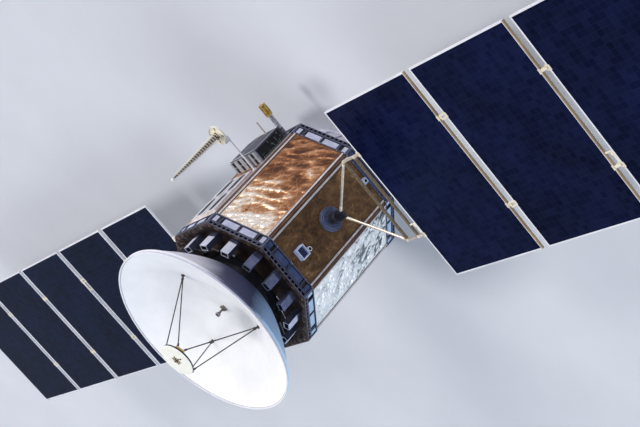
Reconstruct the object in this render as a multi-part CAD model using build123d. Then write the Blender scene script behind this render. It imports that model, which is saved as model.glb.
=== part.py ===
from build123d import *
import os
from math import cos, hypot, radians, sin, sqrt

os.makedirs("parts", exist_ok=True)

# A communications satellite with an octagonal body, standing on its launch adapter.
# Millimetres. +Z runs up the body axis to the dish. The origin is at the middle of the
# adapter's lower face. +X is the right wing, and +Y the side with the small antennas.

# Launch adapter and main thruster
adapter_rim_bottom_radius = 885
adapter_bore_radius = 800
adapter_bottom_radius = 862
adapter_flange_width = 25
adapter_ring_gap = 37
adapter_wall = 16
adapter_height = 400
flange_thickness = 20
bolt_circle_radius = 833
bolt_hole_radius = 5.5
bolt_count = 24
nozzle_exit_radius = 160
nozzle_throat_radius = 45
nozzle_wall = 6
nozzle_length = 270
chamber_radius = 75

# Octagonal body
body_edge = 1000
body_length = 2490
ring_height = 238
ring_wall = 60
core_setback = 22
deck_recess = 60

# Pockets and slots in the two end rings, along one side
pocket_depth = 20
pocket_height = 134
pocket_full = 300
pocket_half = 138
pocket_web = 24
pocket_edge_gap = 22
slot_count = 12
slot_width = 46
slot_height = 34
slot_depth = 30
slot_pitch = 79
slot_edge_gap = 16

# Rails and insulation blankets on the eight sides
rail_width = 28
rail_height = 22
rail_corner_gap = 46
blanket_thickness = 12
blanket_rail_gap = 5
strip_thickness = 6

# Box horns round the front deck
horn_count = 16
horn_circle_radius = 1010
horn_across = 138
horn_deep = 100
horn_length = 310
horn_wall = 13
horn_mouth_depth = 70
collar_radius = 800
collar_wall = 24
collar_height = 110

# Dish
dish_radius = 1557
dish_rim_width = 20
dish_rim_height = 66
dish_depth = 560
dish_skin = 20
dish_rim_above_body = 1017
dish_back_radius = 890
dish_back_above_body = 320
dish_back_wall = 16
dish_back_bulge = 26
neck_radius = 520
neck_foot_radius = 640
neck_foot_height = 60

# Feed in the middle of the dish
feed_base_across = 96
feed_base_height = 20
feed_neck_radius = 18
feed_flare_height = 105
feed_mouth_radius = 40
feed_height = 165
feed_wall = 5

# Subreflector and its six rods
subreflector_radius = 285
subreflector_above_body = 1610
subreflector_face = 10
subreflector_wall = 24
subreflector_back_depth = 60
strut_radius = 9
strut_foot_radius = 26
strut_foot_circle = 800
strut_foot_height = 16
strut_top_circle = 262
strut_bracket_across = 150
strut_bracket_deep = 56
strut_bracket_thick = 24
strut_first_angle = 90

# Electronics on the +Y side
unit_low_x = -330
unit_high_x = 400
unit_ring_gap = 92
unit_length = 610
unit_height = 225
unit_lid_overhang = 10
unit_lid_thickness = 12
unit_chamfer = 120
board_thickness = 8
board_margin = 16
board_chip_height = 7
module_depth = 40
module_slot_depth = 26
module_slot_width = 34
frame_low_x = -330
frame_high_x = 380
frame_mast_gap = 60
frame_ring_gap = 92
frame_thickness = 34
frame_slot_width = 96
frame_slot_end_gap = 62
frame_slot_depth = 22

# Helical antenna on its mast
mast_x = 370
mast_unit_gap = 210
mast_radius = 15
mast_foot_radius = 42
mast_foot_height = 14
mast_length = 655
helix_y = 1983
helix_mast_offset = 100
helix_disc_radius = 165
helix_disc_thickness = 14
helix_disc_lip = 26
helix_hub_radius = 80
helix_hub_height = 34
helix_core_radius = 24
helix_tip_radius = 9
helix_length = 1095
helix_turns = 20
helix_wire_radius = 7
helix_foot_turn_radius = 68
helix_top_turn_radius = 26
helix_ball_radius = 27
helix_fin_thickness = 4

# Barrel antenna and whip antenna
barrel_x = 385
barrel_ring_gap = 42
barrel_head_radius = 58
barrel_head_length = 210
barrel_stem_radius = 36
barrel_foot_radius = 41
barrel_foot_height = 20
barrel_reach = 640
whip_x = 150
whip_unit_inset = 70
whip_radius = 12
whip_foot_radius = 22
whip_foot_height = 12
whip_length = 235

# Sensors on the two wing sides
sensor_ring_gap = 222
sensor_y = 0
sensor_across = 190
sensor_tall = 160
sensor_deep = 90
sensor_tube_radius = 36
sensor_tube_length = 60
sensor_tube_y = -50
sensor_tube_gap = 28
small_sensor_ring_gap = 67
small_sensor_across = 90
small_sensor_tall = 90
small_sensor_deep = 70

# Wing drives
wing_above_rear = 1240
drive_radius = 190
drive_thickness = 56
drive_shaft_radius = 60
drive_shaft_clearance = 0.5
drive_face_gap = 0.5
hub_radius = 90
hub_end_x = 1440
hub_lug_half_width = 55

# Yoke
root_x = 1580
root_foot_y = 76
root_knuckle_radius = 25
root_knuckle_half = 18
root_pin_radius = 11
yoke_corner_x = 2398
yoke_strut_radius = 19
yoke_bar = 36
yoke_outer_bar_x = 2655

# Wing panels
panel_first_x = 2790
panel_width = 1820
panel_half_length = 1521
panel_thickness = 40
panel_gap = 126
panel_count = 5
cell_margin = 22
cell_recess = 3
cell_clearance = 1

# Panel hinges
hinge_y = 750
hinge_offset = 30
knuckle_radius = 17
knuckle_half = 20
outer_knuckle_width = 20
knuckle_gap = 1
pin_radius = 8
pin_clearance = 0.4
hinge_root_height = 32
latch_low_y = -700
latch_high_y = -520
latch_width = 30
latch_thickness = 16
latch_hook_width = 22
latch_hook_gap = 16
latch_block = 34

# Places worked out from the sizes above
body_apothem = body_edge * (1 + sqrt(2)) / 2
core_apothem = body_apothem - core_setback
core_edge = core_apothem * 2 / (1 + sqrt(2))
blanket_face = core_apothem + blanket_thickness
adapter_rim_top_radius = body_apothem - ring_wall - adapter_ring_gap
adapter_top_radius = adapter_rim_top_radius - adapter_flange_width
rear_z = adapter_height
front_z = rear_z + body_length
core_low_z = rear_z + ring_height
core_high_z = front_z - ring_height
rear_deck_z = rear_z + deck_recess
front_deck_z = front_z - deck_recess
dish_rim_z = front_z + dish_rim_above_body
dish_back_z = front_z + dish_back_above_body
dish_skin_radius = dish_radius - dish_rim_width
dish_edge_z = dish_rim_z - 12
dish_vertex_z = dish_edge_z - dish_depth
dish_curve = dish_depth / dish_skin_radius**2
subreflector_z = front_z + subreflector_above_body
subreflector_low_z = subreflector_z - subreflector_face - subreflector_back_depth
unit_low_z = core_low_z + unit_ring_gap
unit_high_z = unit_low_z + unit_length
unit_top_y = blanket_face + unit_height
mast_z = unit_high_z + mast_unit_gap
frame_low_z = mast_z + frame_mast_gap
frame_high_z = core_high_z - frame_ring_gap
helix_z = mast_z + helix_mast_offset
barrel_z = core_low_z + barrel_ring_gap
whip_z = unit_low_z + whip_unit_inset
sensor_z = core_high_z - sensor_ring_gap
small_sensor_z = core_low_z + small_sensor_ring_gap
wing_z = rear_z + wing_above_rear
panel_pitch = panel_width + panel_gap
drive_outer_x = blanket_face + drive_thickness
first_hinge_x = panel_first_x - panel_gap / 2
rail_place = core_edge / 2 - rail_corner_gap
blanket_half = rail_place - rail_width / 2 - blanket_rail_gap
strip_start = rail_place + rail_width / 2 + blanket_rail_gap


def octagon(apothem, low, high):
    """Octagonal prism with a flat side towards +X."""
    outline = RegularPolygon(apothem, 8, major_radius=False, rotation=22.5)
    return extrude(Plane.XY.offset(low) * outline, high - low)


def box(x, y, z):
    """Box from three pairs of low and high sides."""
    size = Box(x[1] - x[0], y[1] - y[0], z[1] - z[0])
    return Pos((x[0] + x[1]) / 2, (y[0] + y[1]) / 2, (z[0] + z[1]) / 2) * size


def turned(points):
    """Solid of revolution about Z from a closed outline of (radius, height) points."""
    face = make_face(Plane.XZ * Polyline(*points, close=True))
    return revolve(face, Axis.Z)


def side_plane(side, distance):
    """Plane on one side of the body: x along the edge, y up, z outwards."""
    angle = radians(45 * side)
    outward = Vector(cos(angle), sin(angle), 0)
    return Plane(outward * distance, x_dir=(-sin(angle), cos(angle), 0), z_dir=outward)


def on_side(side, distance, across, up, out):
    """Box on one side of the body, from pairs along the edge, up and outwards."""
    return side_plane(side, distance) * box(across, up, out)


def rod(start, end, radius):
    """Round rod between two points."""
    start, end = Vector(*start), Vector(*end)
    axis = end - start
    return extrude(Plane(start, z_dir=axis) * Circle(radius), axis.length)


def barrel_along_y(x, z, low_y, high_y, radius):
    """Cylinder whose axis runs along Y."""
    plane = Plane((x, low_y, z), x_dir=(1, 0, 0), z_dir=(0, 1, 0))
    return extrude(plane * Circle(radius), high_y - low_y)


def save(node, shape):
    """Write one node, as a plain list of its solids."""
    solids = shape.solids()
    whole = solids[0] if len(solids) == 1 else Compound(children=list(solids))
    export_step(whole, "parts/" + node + ".step")


def adapter_skirt():
    outline = [
        (adapter_bore_radius, 0),
        (adapter_rim_bottom_radius, 0),
        (adapter_rim_bottom_radius, flange_thickness),
        (adapter_bottom_radius, flange_thickness),
        (adapter_top_radius, rear_deck_z - flange_thickness),
        (adapter_rim_top_radius, rear_deck_z - flange_thickness),
        (adapter_rim_top_radius, rear_deck_z),
        (adapter_top_radius - adapter_wall - 20, rear_deck_z),
        (adapter_top_radius - adapter_wall, rear_deck_z - flange_thickness),
        (adapter_bottom_radius - adapter_wall, flange_thickness),
        (adapter_bore_radius, flange_thickness),
    ]
    hole = Cylinder(bolt_hole_radius, flange_thickness * 3)
    return turned(outline) - [place * hole for place in PolarLocations(bolt_circle_radius, bolt_count)]


def main_thruster():
    throat_z = rear_deck_z - 90
    exit_z = throat_z - nozzle_length
    waist = (nozzle_exit_radius + nozzle_throat_radius) / 2 + 18
    middle_z = (throat_z + exit_z) / 2
    outer = ThreePointArc(
        (nozzle_exit_radius, 0, exit_z), (waist, 0, middle_z), (nozzle_throat_radius, 0, throat_z)
    )
    inner = ThreePointArc(
        (nozzle_throat_radius - nozzle_wall, 0, throat_z),
        (waist - nozzle_wall, 0, middle_z),
        (nozzle_exit_radius - nozzle_wall, 0, exit_z),
    )
    outline = Wire([outer, Line(outer @ 1, inner @ 0), inner, Line(inner @ 1, outer @ 0)])
    bell = revolve(make_face(outline), Axis.Z)
    chamber = turned(
        [(0, throat_z), (nozzle_throat_radius, throat_z), (chamber_radius, throat_z + 40),
         (chamber_radius, rear_deck_z), (0, rear_deck_z)]
    )
    return bell + chamber


def end_ring(low, high, outer_edge):
    """Octagonal end ring. outer_edge is +1 where the small slots lie near the upper edge."""
    ring = octagon(body_apothem, low, high) - octagon(body_apothem - ring_wall, low, high)
    inner_edge = low if outer_edge > 0 else high
    pocket_low = inner_edge + outer_edge * pocket_edge_gap
    pocket_high = pocket_low + outer_edge * pocket_height
    slot_far = (high if outer_edge > 0 else low) - outer_edge * slot_edge_gap
    slot_near = slot_far - outer_edge * slot_height
    pocket_band = sorted((pocket_low, pocket_high))
    slot_band = sorted((slot_near, slot_far))
    # One side's pockets: middle along the edge, half width
    full_place = (pocket_full + pocket_web) / 2
    half_place = pocket_full + pocket_web * 1.5 + pocket_half / 2
    pockets = [
        (-half_place, pocket_half / 2),
        (-full_place, pocket_full / 2),
        (full_place, pocket_full / 2),
        (half_place, pocket_half / 2),
    ]
    cuts = []
    for side in range(8):
        for middle, half in pockets:
            across = (middle - half, middle + half)
            cuts.append(on_side(side, body_apothem, across, pocket_band, (-pocket_depth, 5)))
        for slot in range(slot_count):
            middle = (slot - (slot_count - 1) / 2) * slot_pitch
            across = (middle - slot_width / 2, middle + slot_width / 2)
            cuts.append(on_side(side, body_apothem, across, slot_band, (-slot_depth, 5)))
    return ring - cuts


def corner_rails():
    half = rail_width / 2
    rails = []
    for side in range(8):
        for place in (-rail_place, rail_place):
            across = (place - half, place + half)
            rails.append(on_side(side, core_apothem, across, (core_low_z, core_high_z), (0, rail_height)))
    return Compound(children=rails)


def corner_strips():
    band = octagon(core_apothem + strip_thickness, core_low_z, core_high_z)
    band -= octagon(core_apothem, core_low_z, core_high_z)
    clear = [
        on_side(side, core_apothem, (-strip_start, strip_start), (core_low_z, core_high_z), (-5, 20))
        for side in range(8)
    ]
    return band - clear


def blankets(sides):
    """Insulation blankets on the named sides. The drive discs seat on them."""
    across = (-blanket_half, blanket_half)
    sheets = [
        on_side(side, core_apothem, across, (core_low_z, core_high_z), (0, blanket_thickness))
        for side in sides
    ]
    return Compound(children=sheets)


def feed_horns():
    horns = []
    for place in range(horn_count):
        angle = 360 / horn_count * place
        across = (-horn_across / 2, horn_across / 2)
        deep = (-horn_deep / 2, horn_deep / 2)
        top = front_deck_z + horn_length
        horn = box(deep, across, (front_deck_z, top))
        mouth = box(
            (deep[0] + horn_wall, deep[1] - horn_wall),
            (across[0] + horn_wall, across[1] - horn_wall),
            (top - horn_mouth_depth, top + 5),
        )
        horns.append(Rot(0, 0, angle) * Pos(horn_circle_radius, 0, 0) * (horn - mouth))
    return Compound(children=horns)


def deck_collar():
    inner = collar_radius - collar_wall
    top = front_deck_z + collar_height
    return turned([(inner, front_deck_z), (collar_radius, front_deck_z), (collar_radius, top), (inner, top)])


def dish_neck():
    foot_top = front_deck_z + neck_foot_height
    return turned(
        [(0, front_deck_z), (neck_foot_radius, front_deck_z), (neck_foot_radius, foot_top),
         (neck_radius, foot_top), (neck_radius, dish_back_z), (0, dish_back_z)]
    )


def dish_backshell():
    """Conical shell behind the reflector, closed by a plate at the neck."""
    land_low = dish_rim_z - dish_rim_height
    land_high = land_low + 15
    inner_top = dish_skin_radius - dish_back_wall
    plate_top = dish_back_z + dish_back_wall
    run = dish_skin_radius - dish_back_radius
    rise = land_low - dish_back_z
    middle = (
        dish_back_radius + run / 2 + dish_back_bulge * rise / hypot(run, rise),
        dish_back_z + rise / 2 - dish_back_bulge * run / hypot(run, rise),
    )
    outer = ThreePointArc(
        (dish_back_radius, 0, dish_back_z), (middle[0], 0, middle[1]), (dish_skin_radius, 0, land_low)
    )
    inner = ThreePointArc(
        (inner_top, 0, land_high),
        (middle[0] - dish_back_wall, 0, middle[1] + dish_back_wall / 2),
        (dish_back_radius - dish_back_wall, 0, plate_top),
    )
    outline = Wire(
        [
            Line((0, 0, dish_back_z), outer @ 0),
            outer,
            Line(outer @ 1, (dish_skin_radius, 0, land_high)),
            Line((dish_skin_radius, 0, land_high), inner @ 0),
            inner,
            Line(inner @ 1, (0, 0, plate_top)),
            Line((0, 0, plate_top), (0, 0, dish_back_z)),
        ]
    )
    return revolve(make_face(outline), Axis.Z)


def parabola(drop):
    """Dish profile, lowered by drop: a Bezier curve with level first leg is an exact parabola."""
    vertex = dish_vertex_z - drop
    return Bezier((0, 0, vertex), (dish_skin_radius / 2, 0, vertex), (dish_skin_radius, 0, dish_edge_z - drop))


def between_parabolas(top_drop, bottom_drop):
    top, bottom = parabola(top_drop), parabola(bottom_drop)
    outline = Wire([top, Line(top @ 1, bottom @ 1), bottom, Line(bottom @ 0, top @ 0)])
    return revolve(make_face(outline), Axis.Z)


def dish_reflector():
    return between_parabolas(0, dish_skin)


def dish_rim():
    low = dish_rim_z - dish_rim_height
    return turned(
        [(dish_skin_radius, low), (dish_radius, low), (dish_radius, dish_rim_z), (dish_skin_radius, dish_rim_z)]
    )


def dish_feed(under_dish):
    """Square base, stem and open flared mouth with a straight rim, at the dish's vertex."""
    low = dish_vertex_z - 2
    flare = dish_vertex_z + feed_flare_height
    top = dish_vertex_z + feed_height
    half = feed_base_across / 2
    base = box((-half, half), (-half, half), (low, dish_vertex_z + feed_base_height))
    horn = turned(
        [(0, low), (feed_neck_radius, low), (feed_neck_radius, flare), (feed_mouth_radius, top - 16),
         (feed_mouth_radius, top), (0, top)]
    )
    mouth = turned(
        [(0, flare + 8), (feed_neck_radius - feed_wall, flare + 8), (feed_mouth_radius - feed_wall, top - 16),
         (feed_mouth_radius - feed_wall, top), (0, top)]
    )
    return base + horn - mouth - under_dish


def subreflector():
    """Thin face plate that points away from the dish."""
    low = subreflector_z - subreflector_face
    edge = subreflector_radius
    return turned(
        [(0, low), (edge, low), (edge, subreflector_z - 4), (edge - 4, subreflector_z), (0, subreflector_z)]
    )


def subreflector_back():
    """Short rim wall and shallow convex reflector, with a flat land for the brackets."""
    top = subreflector_z - subreflector_face
    land_z = top - subreflector_wall
    land = strut_top_circle - strut_bracket_deep / 2 - 12
    return turned(
        [(0, top), (subreflector_radius, top), (subreflector_radius, land_z), (land, land_z),
         (land / 2, subreflector_low_z + 10), (0, subreflector_low_z)]
    )


def strut_brackets():
    """Three blocks under the subreflector that take the upper ends of the rods."""
    top = subreflector_z - subreflector_face - subreflector_wall
    blocks = []
    for leg in range(3):
        angle = strut_first_angle + 60 + 120 * leg
        block = box(
            (-strut_bracket_deep / 2, strut_bracket_deep / 2),
            (-strut_bracket_across / 2, strut_bracket_across / 2),
            (top - strut_bracket_thick, top),
        )
        blocks.append(Rot(0, 0, angle) * Pos(strut_top_circle, 0, 0) * block)
    return Compound(children=blocks)


def strut_pairs(under_dish, brackets):
    """Three pairs of rods. Each pair rises from one foot on the dish to two brackets."""
    foot_z = dish_vertex_z + dish_curve * strut_foot_circle**2
    top_z = subreflector_z - subreflector_face - subreflector_wall - strut_bracket_thick / 2
    spread = strut_bracket_across / 4
    pairs = []
    for leg in range(3):
        angle = strut_first_angle + 120 * leg
        foot = (strut_foot_circle, 0, foot_z + strut_foot_height / 2)
        pad = Pos(strut_foot_circle, 0, foot_z - dish_skin / 2) * Cylinder(
            strut_foot_radius, strut_foot_height + dish_skin, align=(Align.CENTER, Align.CENTER, Align.MIN)
        )
        pair = pad
        for hand in (-1, 1):
            turn = radians(60 * hand)
            end = (
                strut_top_circle * cos(turn) + spread * hand * sin(turn),
                strut_top_circle * sin(turn) - spread * hand * cos(turn),
                top_z,
            )
            pair += rod(foot, end, strut_radius)
        pairs.append(Rot(0, 0, angle) * pair - under_dish - brackets)
    return Compound(children=pairs)


def electronics_unit():
    """Box with a thin overhanging lid, one far corner cut off."""
    low, high = unit_low_x, unit_high_x
    def plan(grow):
        return Polygon(
            (low - grow, unit_low_z + unit_chamfer),
            (low + unit_chamfer, unit_low_z - grow),
            (high + grow, unit_low_z - grow),
            (high + grow, unit_high_z + grow),
            (low - grow, unit_high_z + grow),
            align=None,
        )
    # Sketch x runs along X and sketch y along Z, so the plane looks towards -Y
    seat = Plane((0, blanket_face, 0), x_dir=(1, 0, 0), z_dir=(0, -1, 0))
    lid_plane = Plane((0, unit_top_y - unit_lid_thickness, 0), x_dir=(1, 0, 0), z_dir=(0, -1, 0))
    body = extrude(seat * plan(0), -(unit_height - unit_lid_thickness))
    lid = extrude(lid_plane * plan(unit_lid_overhang), -unit_lid_thickness)
    return body + lid


def electronics_board():
    """Circuit board on the unit's +X side with rows of low parts."""
    low_y = blanket_face + board_margin
    high_y = unit_top_y - unit_lid_thickness - board_margin
    low_z = unit_low_z + board_margin
    high_z = unit_high_z - board_margin
    face_x = unit_high_x + board_thickness
    board = box((unit_high_x, face_x), (low_y, high_y), (low_z, high_z))
    # Low parts: place along the board, place across it, length, width
    parts = [
        (70, 40, 60, 22),
        (70, 110, 44, 44),
        (190, 60, 90, 30),
        (190, 130, 40, 30),
        (320, 50, 60, 60),
        (320, 130, 90, 20),
        (450, 40, 70, 26),
        (450, 110, 70, 40),
    ]
    for along, across, length, width in parts:
        z = low_z + along
        y = low_y + across
        board += box((face_x, face_x + board_chip_height), (y - width / 2, y + width / 2),
                     (z - length / 2, z + length / 2))
    return board


def electronics_modules():
    """Two pale modules with dark slots on the unit's end towards the dish."""
    gap_low = 150
    gap_high = 215
    top_y = unit_top_y - unit_lid_thickness
    high_z = unit_high_z + module_depth
    # Modules: low X, high X, slot columns
    table = [(unit_low_x, gap_low, 3), (gap_high, unit_high_x, 1)]
    row_half = (top_y - blanket_face) / 2
    modules = []
    for low_x, high_x, columns in table:
        module = box((low_x, high_x), (blanket_face, top_y - 6), (unit_high_z, high_z))
        for column in range(columns):
            middle = low_x + (high_x - low_x) * (column + 0.5) / columns
            for row in range(2):
                y = blanket_face + row_half * (row + 0.5)
                cut = box(
                    (middle - module_slot_width / 2, middle + module_slot_width / 2),
                    (y - row_half / 2 + 14, y + row_half / 2 - 14),
                    (high_z - module_slot_depth, high_z + 5),
                )
                module -= cut
        modules.append(module)
    return Compound(children=modules)


def slotted_frame():
    """Low equipment cover with four long round-ended slots."""
    top_y = blanket_face + frame_thickness
    plate = box((frame_low_x, frame_high_x), (blanket_face, top_y), (frame_low_z, frame_high_z))
    top = Plane((0, top_y, 0), x_dir=(0, 0, 1), z_dir=(0, 1, 0))
    slot_length = (frame_high_z - frame_low_z) / 2 - frame_slot_end_gap * 2
    for column in range(2):
        for row in range(2):
            x = frame_low_x + (frame_high_x - frame_low_x) * (column + 0.5) / 2
            z = frame_low_z + (frame_high_z - frame_low_z) * (row + 0.5) / 2
            slot = SlotOverall(slot_length, frame_slot_width)
            plate -= extrude(top * Pos(z, x) * slot, -frame_slot_depth)
    return plate


def helix_mast():
    low = blanket_face
    top = low + mast_length
    mast = barrel_along_y(mast_x, mast_z, low, low + mast_foot_height, mast_foot_radius)
    mast += barrel_along_y(mast_x, mast_z, low, top, mast_radius)
    arm_low = top - 60
    mast += box((mast_x - 18, mast_x + 18), (arm_low, top + 30), (mast_z - 18, helix_z))
    return mast


def helix_disc():
    """Shallow cup behind the helix, with a hub."""
    inner = helix_disc_radius - 12
    low = helix_z
    cup = turned(
        [(0, low), (helix_disc_radius, low), (helix_disc_radius, low + helix_disc_lip),
         (inner, low + helix_disc_lip), (inner, low + helix_disc_thickness),
         (helix_hub_radius, low + helix_disc_thickness), (helix_hub_radius, low + helix_hub_height),
         (0, low + helix_hub_height)]
    )
    return Pos(mast_x, helix_y, 0) * cup


def helix_core():
    low = helix_z + helix_hub_height
    top = helix_z + helix_length
    core = turned([(0, low), (helix_core_radius, low), (helix_tip_radius, top), (0, top)])
    ball = Pos(0, 0, top + helix_ball_radius - 4) * Sphere(helix_ball_radius)
    return Pos(mast_x, helix_y, 0) * (core + ball)


def helix_rings(core):
    """The winding's turns, tapering to the tip, and the crossed fins that hold them on the core."""
    low = helix_z + helix_hub_height + 30
    high = helix_z + helix_length - 40
    fin_low = helix_z + helix_hub_height
    half = helix_fin_thickness / 2
    outline = Plane.XZ * Polygon(
        (-helix_foot_turn_radius, fin_low),
        (helix_foot_turn_radius, fin_low),
        (helix_top_turn_radius, high),
        (-helix_top_turn_radius, high),
        align=None,
    )
    fin = extrude(outline, half, both=True)
    winding = fin + Rot(0, 0, 90) * fin
    for turn in range(helix_turns):
        share = turn / (helix_turns - 1)
        radius = helix_foot_turn_radius + (helix_top_turn_radius - helix_foot_turn_radius) * share
        winding += Pos(0, 0, low + (high - low) * share) * Torus(radius, helix_wire_radius)
    return Pos(mast_x, helix_y, 0) * winding - core


def barrel_antenna():
    low = blanket_face
    top = low + barrel_reach
    neck = top - barrel_head_length
    antenna = barrel_along_y(barrel_x, barrel_z, low, low + barrel_foot_height, barrel_foot_radius)
    antenna += barrel_along_y(barrel_x, barrel_z, low, neck, barrel_stem_radius)
    antenna += barrel_along_y(barrel_x, barrel_z, neck, top, barrel_head_radius)
    return antenna


def whip_antenna():
    low = unit_top_y
    antenna = barrel_along_y(whip_x, whip_z, low, low + whip_foot_height, whip_foot_radius)
    antenna += barrel_along_y(whip_x, whip_z, low, low + whip_length, whip_radius)
    return antenna


def side_sensors(side):
    """Boxed sensor with a side tube near the dish end, and a small one at the other end."""
    half = sensor_across / 2
    hand = 1 if side == 0 else -1
    y = sensor_y * hand
    low, high = sensor_z - sensor_tall / 2, sensor_z + sensor_tall / 2
    body = on_side(side, blanket_face, (y - half, y + half), (low, high), (0, sensor_deep))
    body -= on_side(side, blanket_face, (y - half + 14, y + half - 14), (low + 14, high - 14),
                    (sensor_deep - 45, sensor_deep + 5))
    tube_z = low - sensor_tube_gap - sensor_tube_radius
    tube_plane = side_plane(side, blanket_face)
    tube = tube_plane * Pos(sensor_tube_y * hand, tube_z, 0) * Cylinder(
        sensor_tube_radius, sensor_tube_length, align=(Align.CENTER, Align.CENTER, Align.MIN)
    )
    small_half = small_sensor_across / 2
    small = on_side(side, blanket_face, (-small_half, small_half),
                    (small_sensor_z - small_sensor_tall / 2, small_sensor_z + small_sensor_tall / 2),
                    (0, small_sensor_deep))
    return [body, tube, small]


def drive_base():
    """Round drive housing on the side of the body, bored for the hub's shaft."""
    seat = Plane((blanket_face, 0, wing_z), x_dir=(0, 1, 0), z_dir=(1, 0, 0))
    ring = Circle(drive_radius) - Circle(drive_shaft_radius + drive_shaft_clearance)
    return extrude(seat * ring, drive_thickness)


def wing_hub():
    """Octagonal hub with its shaft, and the lug and pin that carry the yoke."""
    start = drive_outer_x + drive_face_gap
    across = Plane((start, 0, wing_z), x_dir=(0, 1, 0), z_dir=(1, 0, 0))
    hub = extrude(across * RegularPolygon(hub_radius, 8, major_radius=False, rotation=22.5), hub_end_x - start)
    shaft = Plane((blanket_face + 2, 0, wing_z), x_dir=(0, 1, 0), z_dir=(1, 0, 0)) * Cylinder(
        drive_shaft_radius, start - blanket_face, align=(Align.CENTER, Align.CENTER, Align.MIN)
    )
    lug = box((hub_end_x - 5, root_x), (-hub_lug_half_width, hub_lug_half_width),
              (wing_z - root_knuckle_radius, wing_z + root_knuckle_radius))
    lug += barrel_along_y(root_x, wing_z, -hub_lug_half_width, hub_lug_half_width, root_knuckle_radius)
    pin_end = root_foot_y + root_knuckle_half + 6
    pin = barrel_along_y(root_x, wing_z, -pin_end, pin_end, root_pin_radius)
    return hub + shaft + lug + pin


def knuckle_arm(edge_x, axis_x, axis_z, low_y, high_y):
    """Flat arm from a straight edge to a round knuckle, seen along Y."""
    plane = Plane((0, low_y, 0), x_dir=(1, 0, 0), z_dir=(0, 1, 0))
    # Sketch y runs down, so heights change sign
    eye = Pos(axis_x, -axis_z) * Circle(knuckle_radius)
    foot_x = edge_x + 1 if axis_x > edge_x else edge_x - 1
    foot = Pos((edge_x + foot_x) / 2, -wing_z) * Rectangle(1, hinge_root_height)
    outline = make_hull((eye + foot).edges())
    return extrude(plane * outline, high_y - low_y)


def inner_hinge_half(edge_x, axis_x, side):
    """Middle knuckle with its pin, on the piece nearer the body. side is +1 above the panel."""
    axis_z = wing_z + side * hinge_offset
    half = None
    for y in (-hinge_y, hinge_y):
        arm = knuckle_arm(edge_x, axis_x, axis_z, y - knuckle_half, y + knuckle_half)
        reach = knuckle_half + knuckle_gap + outer_knuckle_width + 4
        arm += barrel_along_y(axis_x, axis_z, y - reach, y + reach, pin_radius)
        half = arm if half is None else half + arm
    return half


def outer_hinge_half(edge_x, axis_x, side):
    """Two outer knuckles, bored for the pin, on the piece farther from the body."""
    axis_z = wing_z + side * hinge_offset
    half = None
    for y in (-hinge_y, hinge_y):
        for hand in (-1, 1):
            near = y + hand * (knuckle_half + knuckle_gap)
            far = near + hand * outer_knuckle_width
            low_y, high_y = min(near, far), max(near, far)
            arm = knuckle_arm(edge_x, axis_x, axis_z, low_y, high_y)
            arm -= barrel_along_y(axis_x, axis_z, low_y, high_y, pin_radius + pin_clearance)
            half = arm if half is None else half + arm
    return half


def wing_yoke():
    """Two diverging struts, two cross bars and two arms that carry the first panel."""
    half = yoke_bar / 2
    corner_y = hinge_y
    frame = None
    for hand in (-1, 1):
        foot_y = root_foot_y * hand
        strut = rod((root_x, foot_y, wing_z), (yoke_corner_x, corner_y * hand, wing_z), yoke_strut_radius)
        knuckle = barrel_along_y(root_x, wing_z, foot_y - root_knuckle_half, foot_y + root_knuckle_half,
                                 root_knuckle_radius)
        arm = box((yoke_corner_x - half, yoke_outer_bar_x + half),
                  (corner_y * hand - half, corner_y * hand + half), (wing_z - half, wing_z + half))
        piece = strut + knuckle + arm
        frame = piece if frame is None else frame + piece
    for x in (yoke_corner_x, yoke_outer_bar_x):
        frame += box((x - half, x + half), (-corner_y, corner_y), (wing_z - half, wing_z + half))
    frame += inner_hinge_half(yoke_outer_bar_x + half, first_hinge_x, -1)
    for hand in (-1, 1):
        foot_y = root_foot_y * hand
        reach = root_knuckle_half + 30
        frame -= barrel_along_y(root_x, wing_z, foot_y - reach, foot_y + reach, root_pin_radius + pin_clearance)
    # The lug's space between the two root knuckles stays open
    gap = hub_lug_half_width + knuckle_gap
    frame -= box((root_x - 60, root_x + root_knuckle_radius + 4), (-gap, gap), (wing_z - 60, wing_z + 60))
    return frame


def latch_bracket(edge_x):
    """Plate, hook and raised block on a panel's inner edge, beside one hinge. They lock the open wing."""
    top = wing_z + panel_thickness / 2
    heights = (top - latch_thickness, top)
    bracket = box((edge_x - latch_width, edge_x), (latch_low_y, latch_high_y), heights)
    hook_reach = edge_x - panel_gap + latch_hook_gap
    bracket += box((hook_reach, edge_x), (latch_high_y - latch_hook_width, latch_high_y), heights)
    block_high_y = latch_high_y - latch_hook_width - 10
    bracket += box((edge_x - latch_width - 8, edge_x - latch_width + latch_block - 8),
                   (block_high_y - latch_block, block_high_y), (top - latch_thickness, top + 8))
    return bracket


def wing_panel(number):
    """Panel with a recess for its cells, and its hinge halves. number counts out from the body."""
    low_x = panel_first_x + panel_pitch * number
    high_x = low_x + panel_width
    half = panel_thickness / 2
    panel = box((low_x, high_x), (-panel_half_length, panel_half_length), (wing_z - half, wing_z + half))
    inside = panel_half_length - cell_margin
    panel -= box((low_x + cell_margin, high_x - cell_margin), (-inside, inside),
                 (wing_z + half - cell_recess, wing_z + half + 5))
    # Hinges lie below the first gap and then above and below by turns
    inner_side = -1 if number % 2 == 0 else 1
    panel += outer_hinge_half(low_x, low_x - panel_gap / 2, inner_side)
    if number < panel_count - 1:
        panel += inner_hinge_half(high_x, high_x + panel_gap / 2, -inner_side)
    if inner_side < 0 and number < panel_count - 1:
        panel += latch_bracket(low_x)
    return panel


def wing_cells(number):
    low_x = panel_first_x + panel_pitch * number + cell_margin + cell_clearance
    high_x = panel_first_x + panel_pitch * number + panel_width - cell_margin - cell_clearance
    inside = panel_half_length - cell_margin - cell_clearance
    top = wing_z + panel_thickness / 2
    return box((low_x, high_x), (-inside, inside), (top - cell_recess, top))


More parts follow.
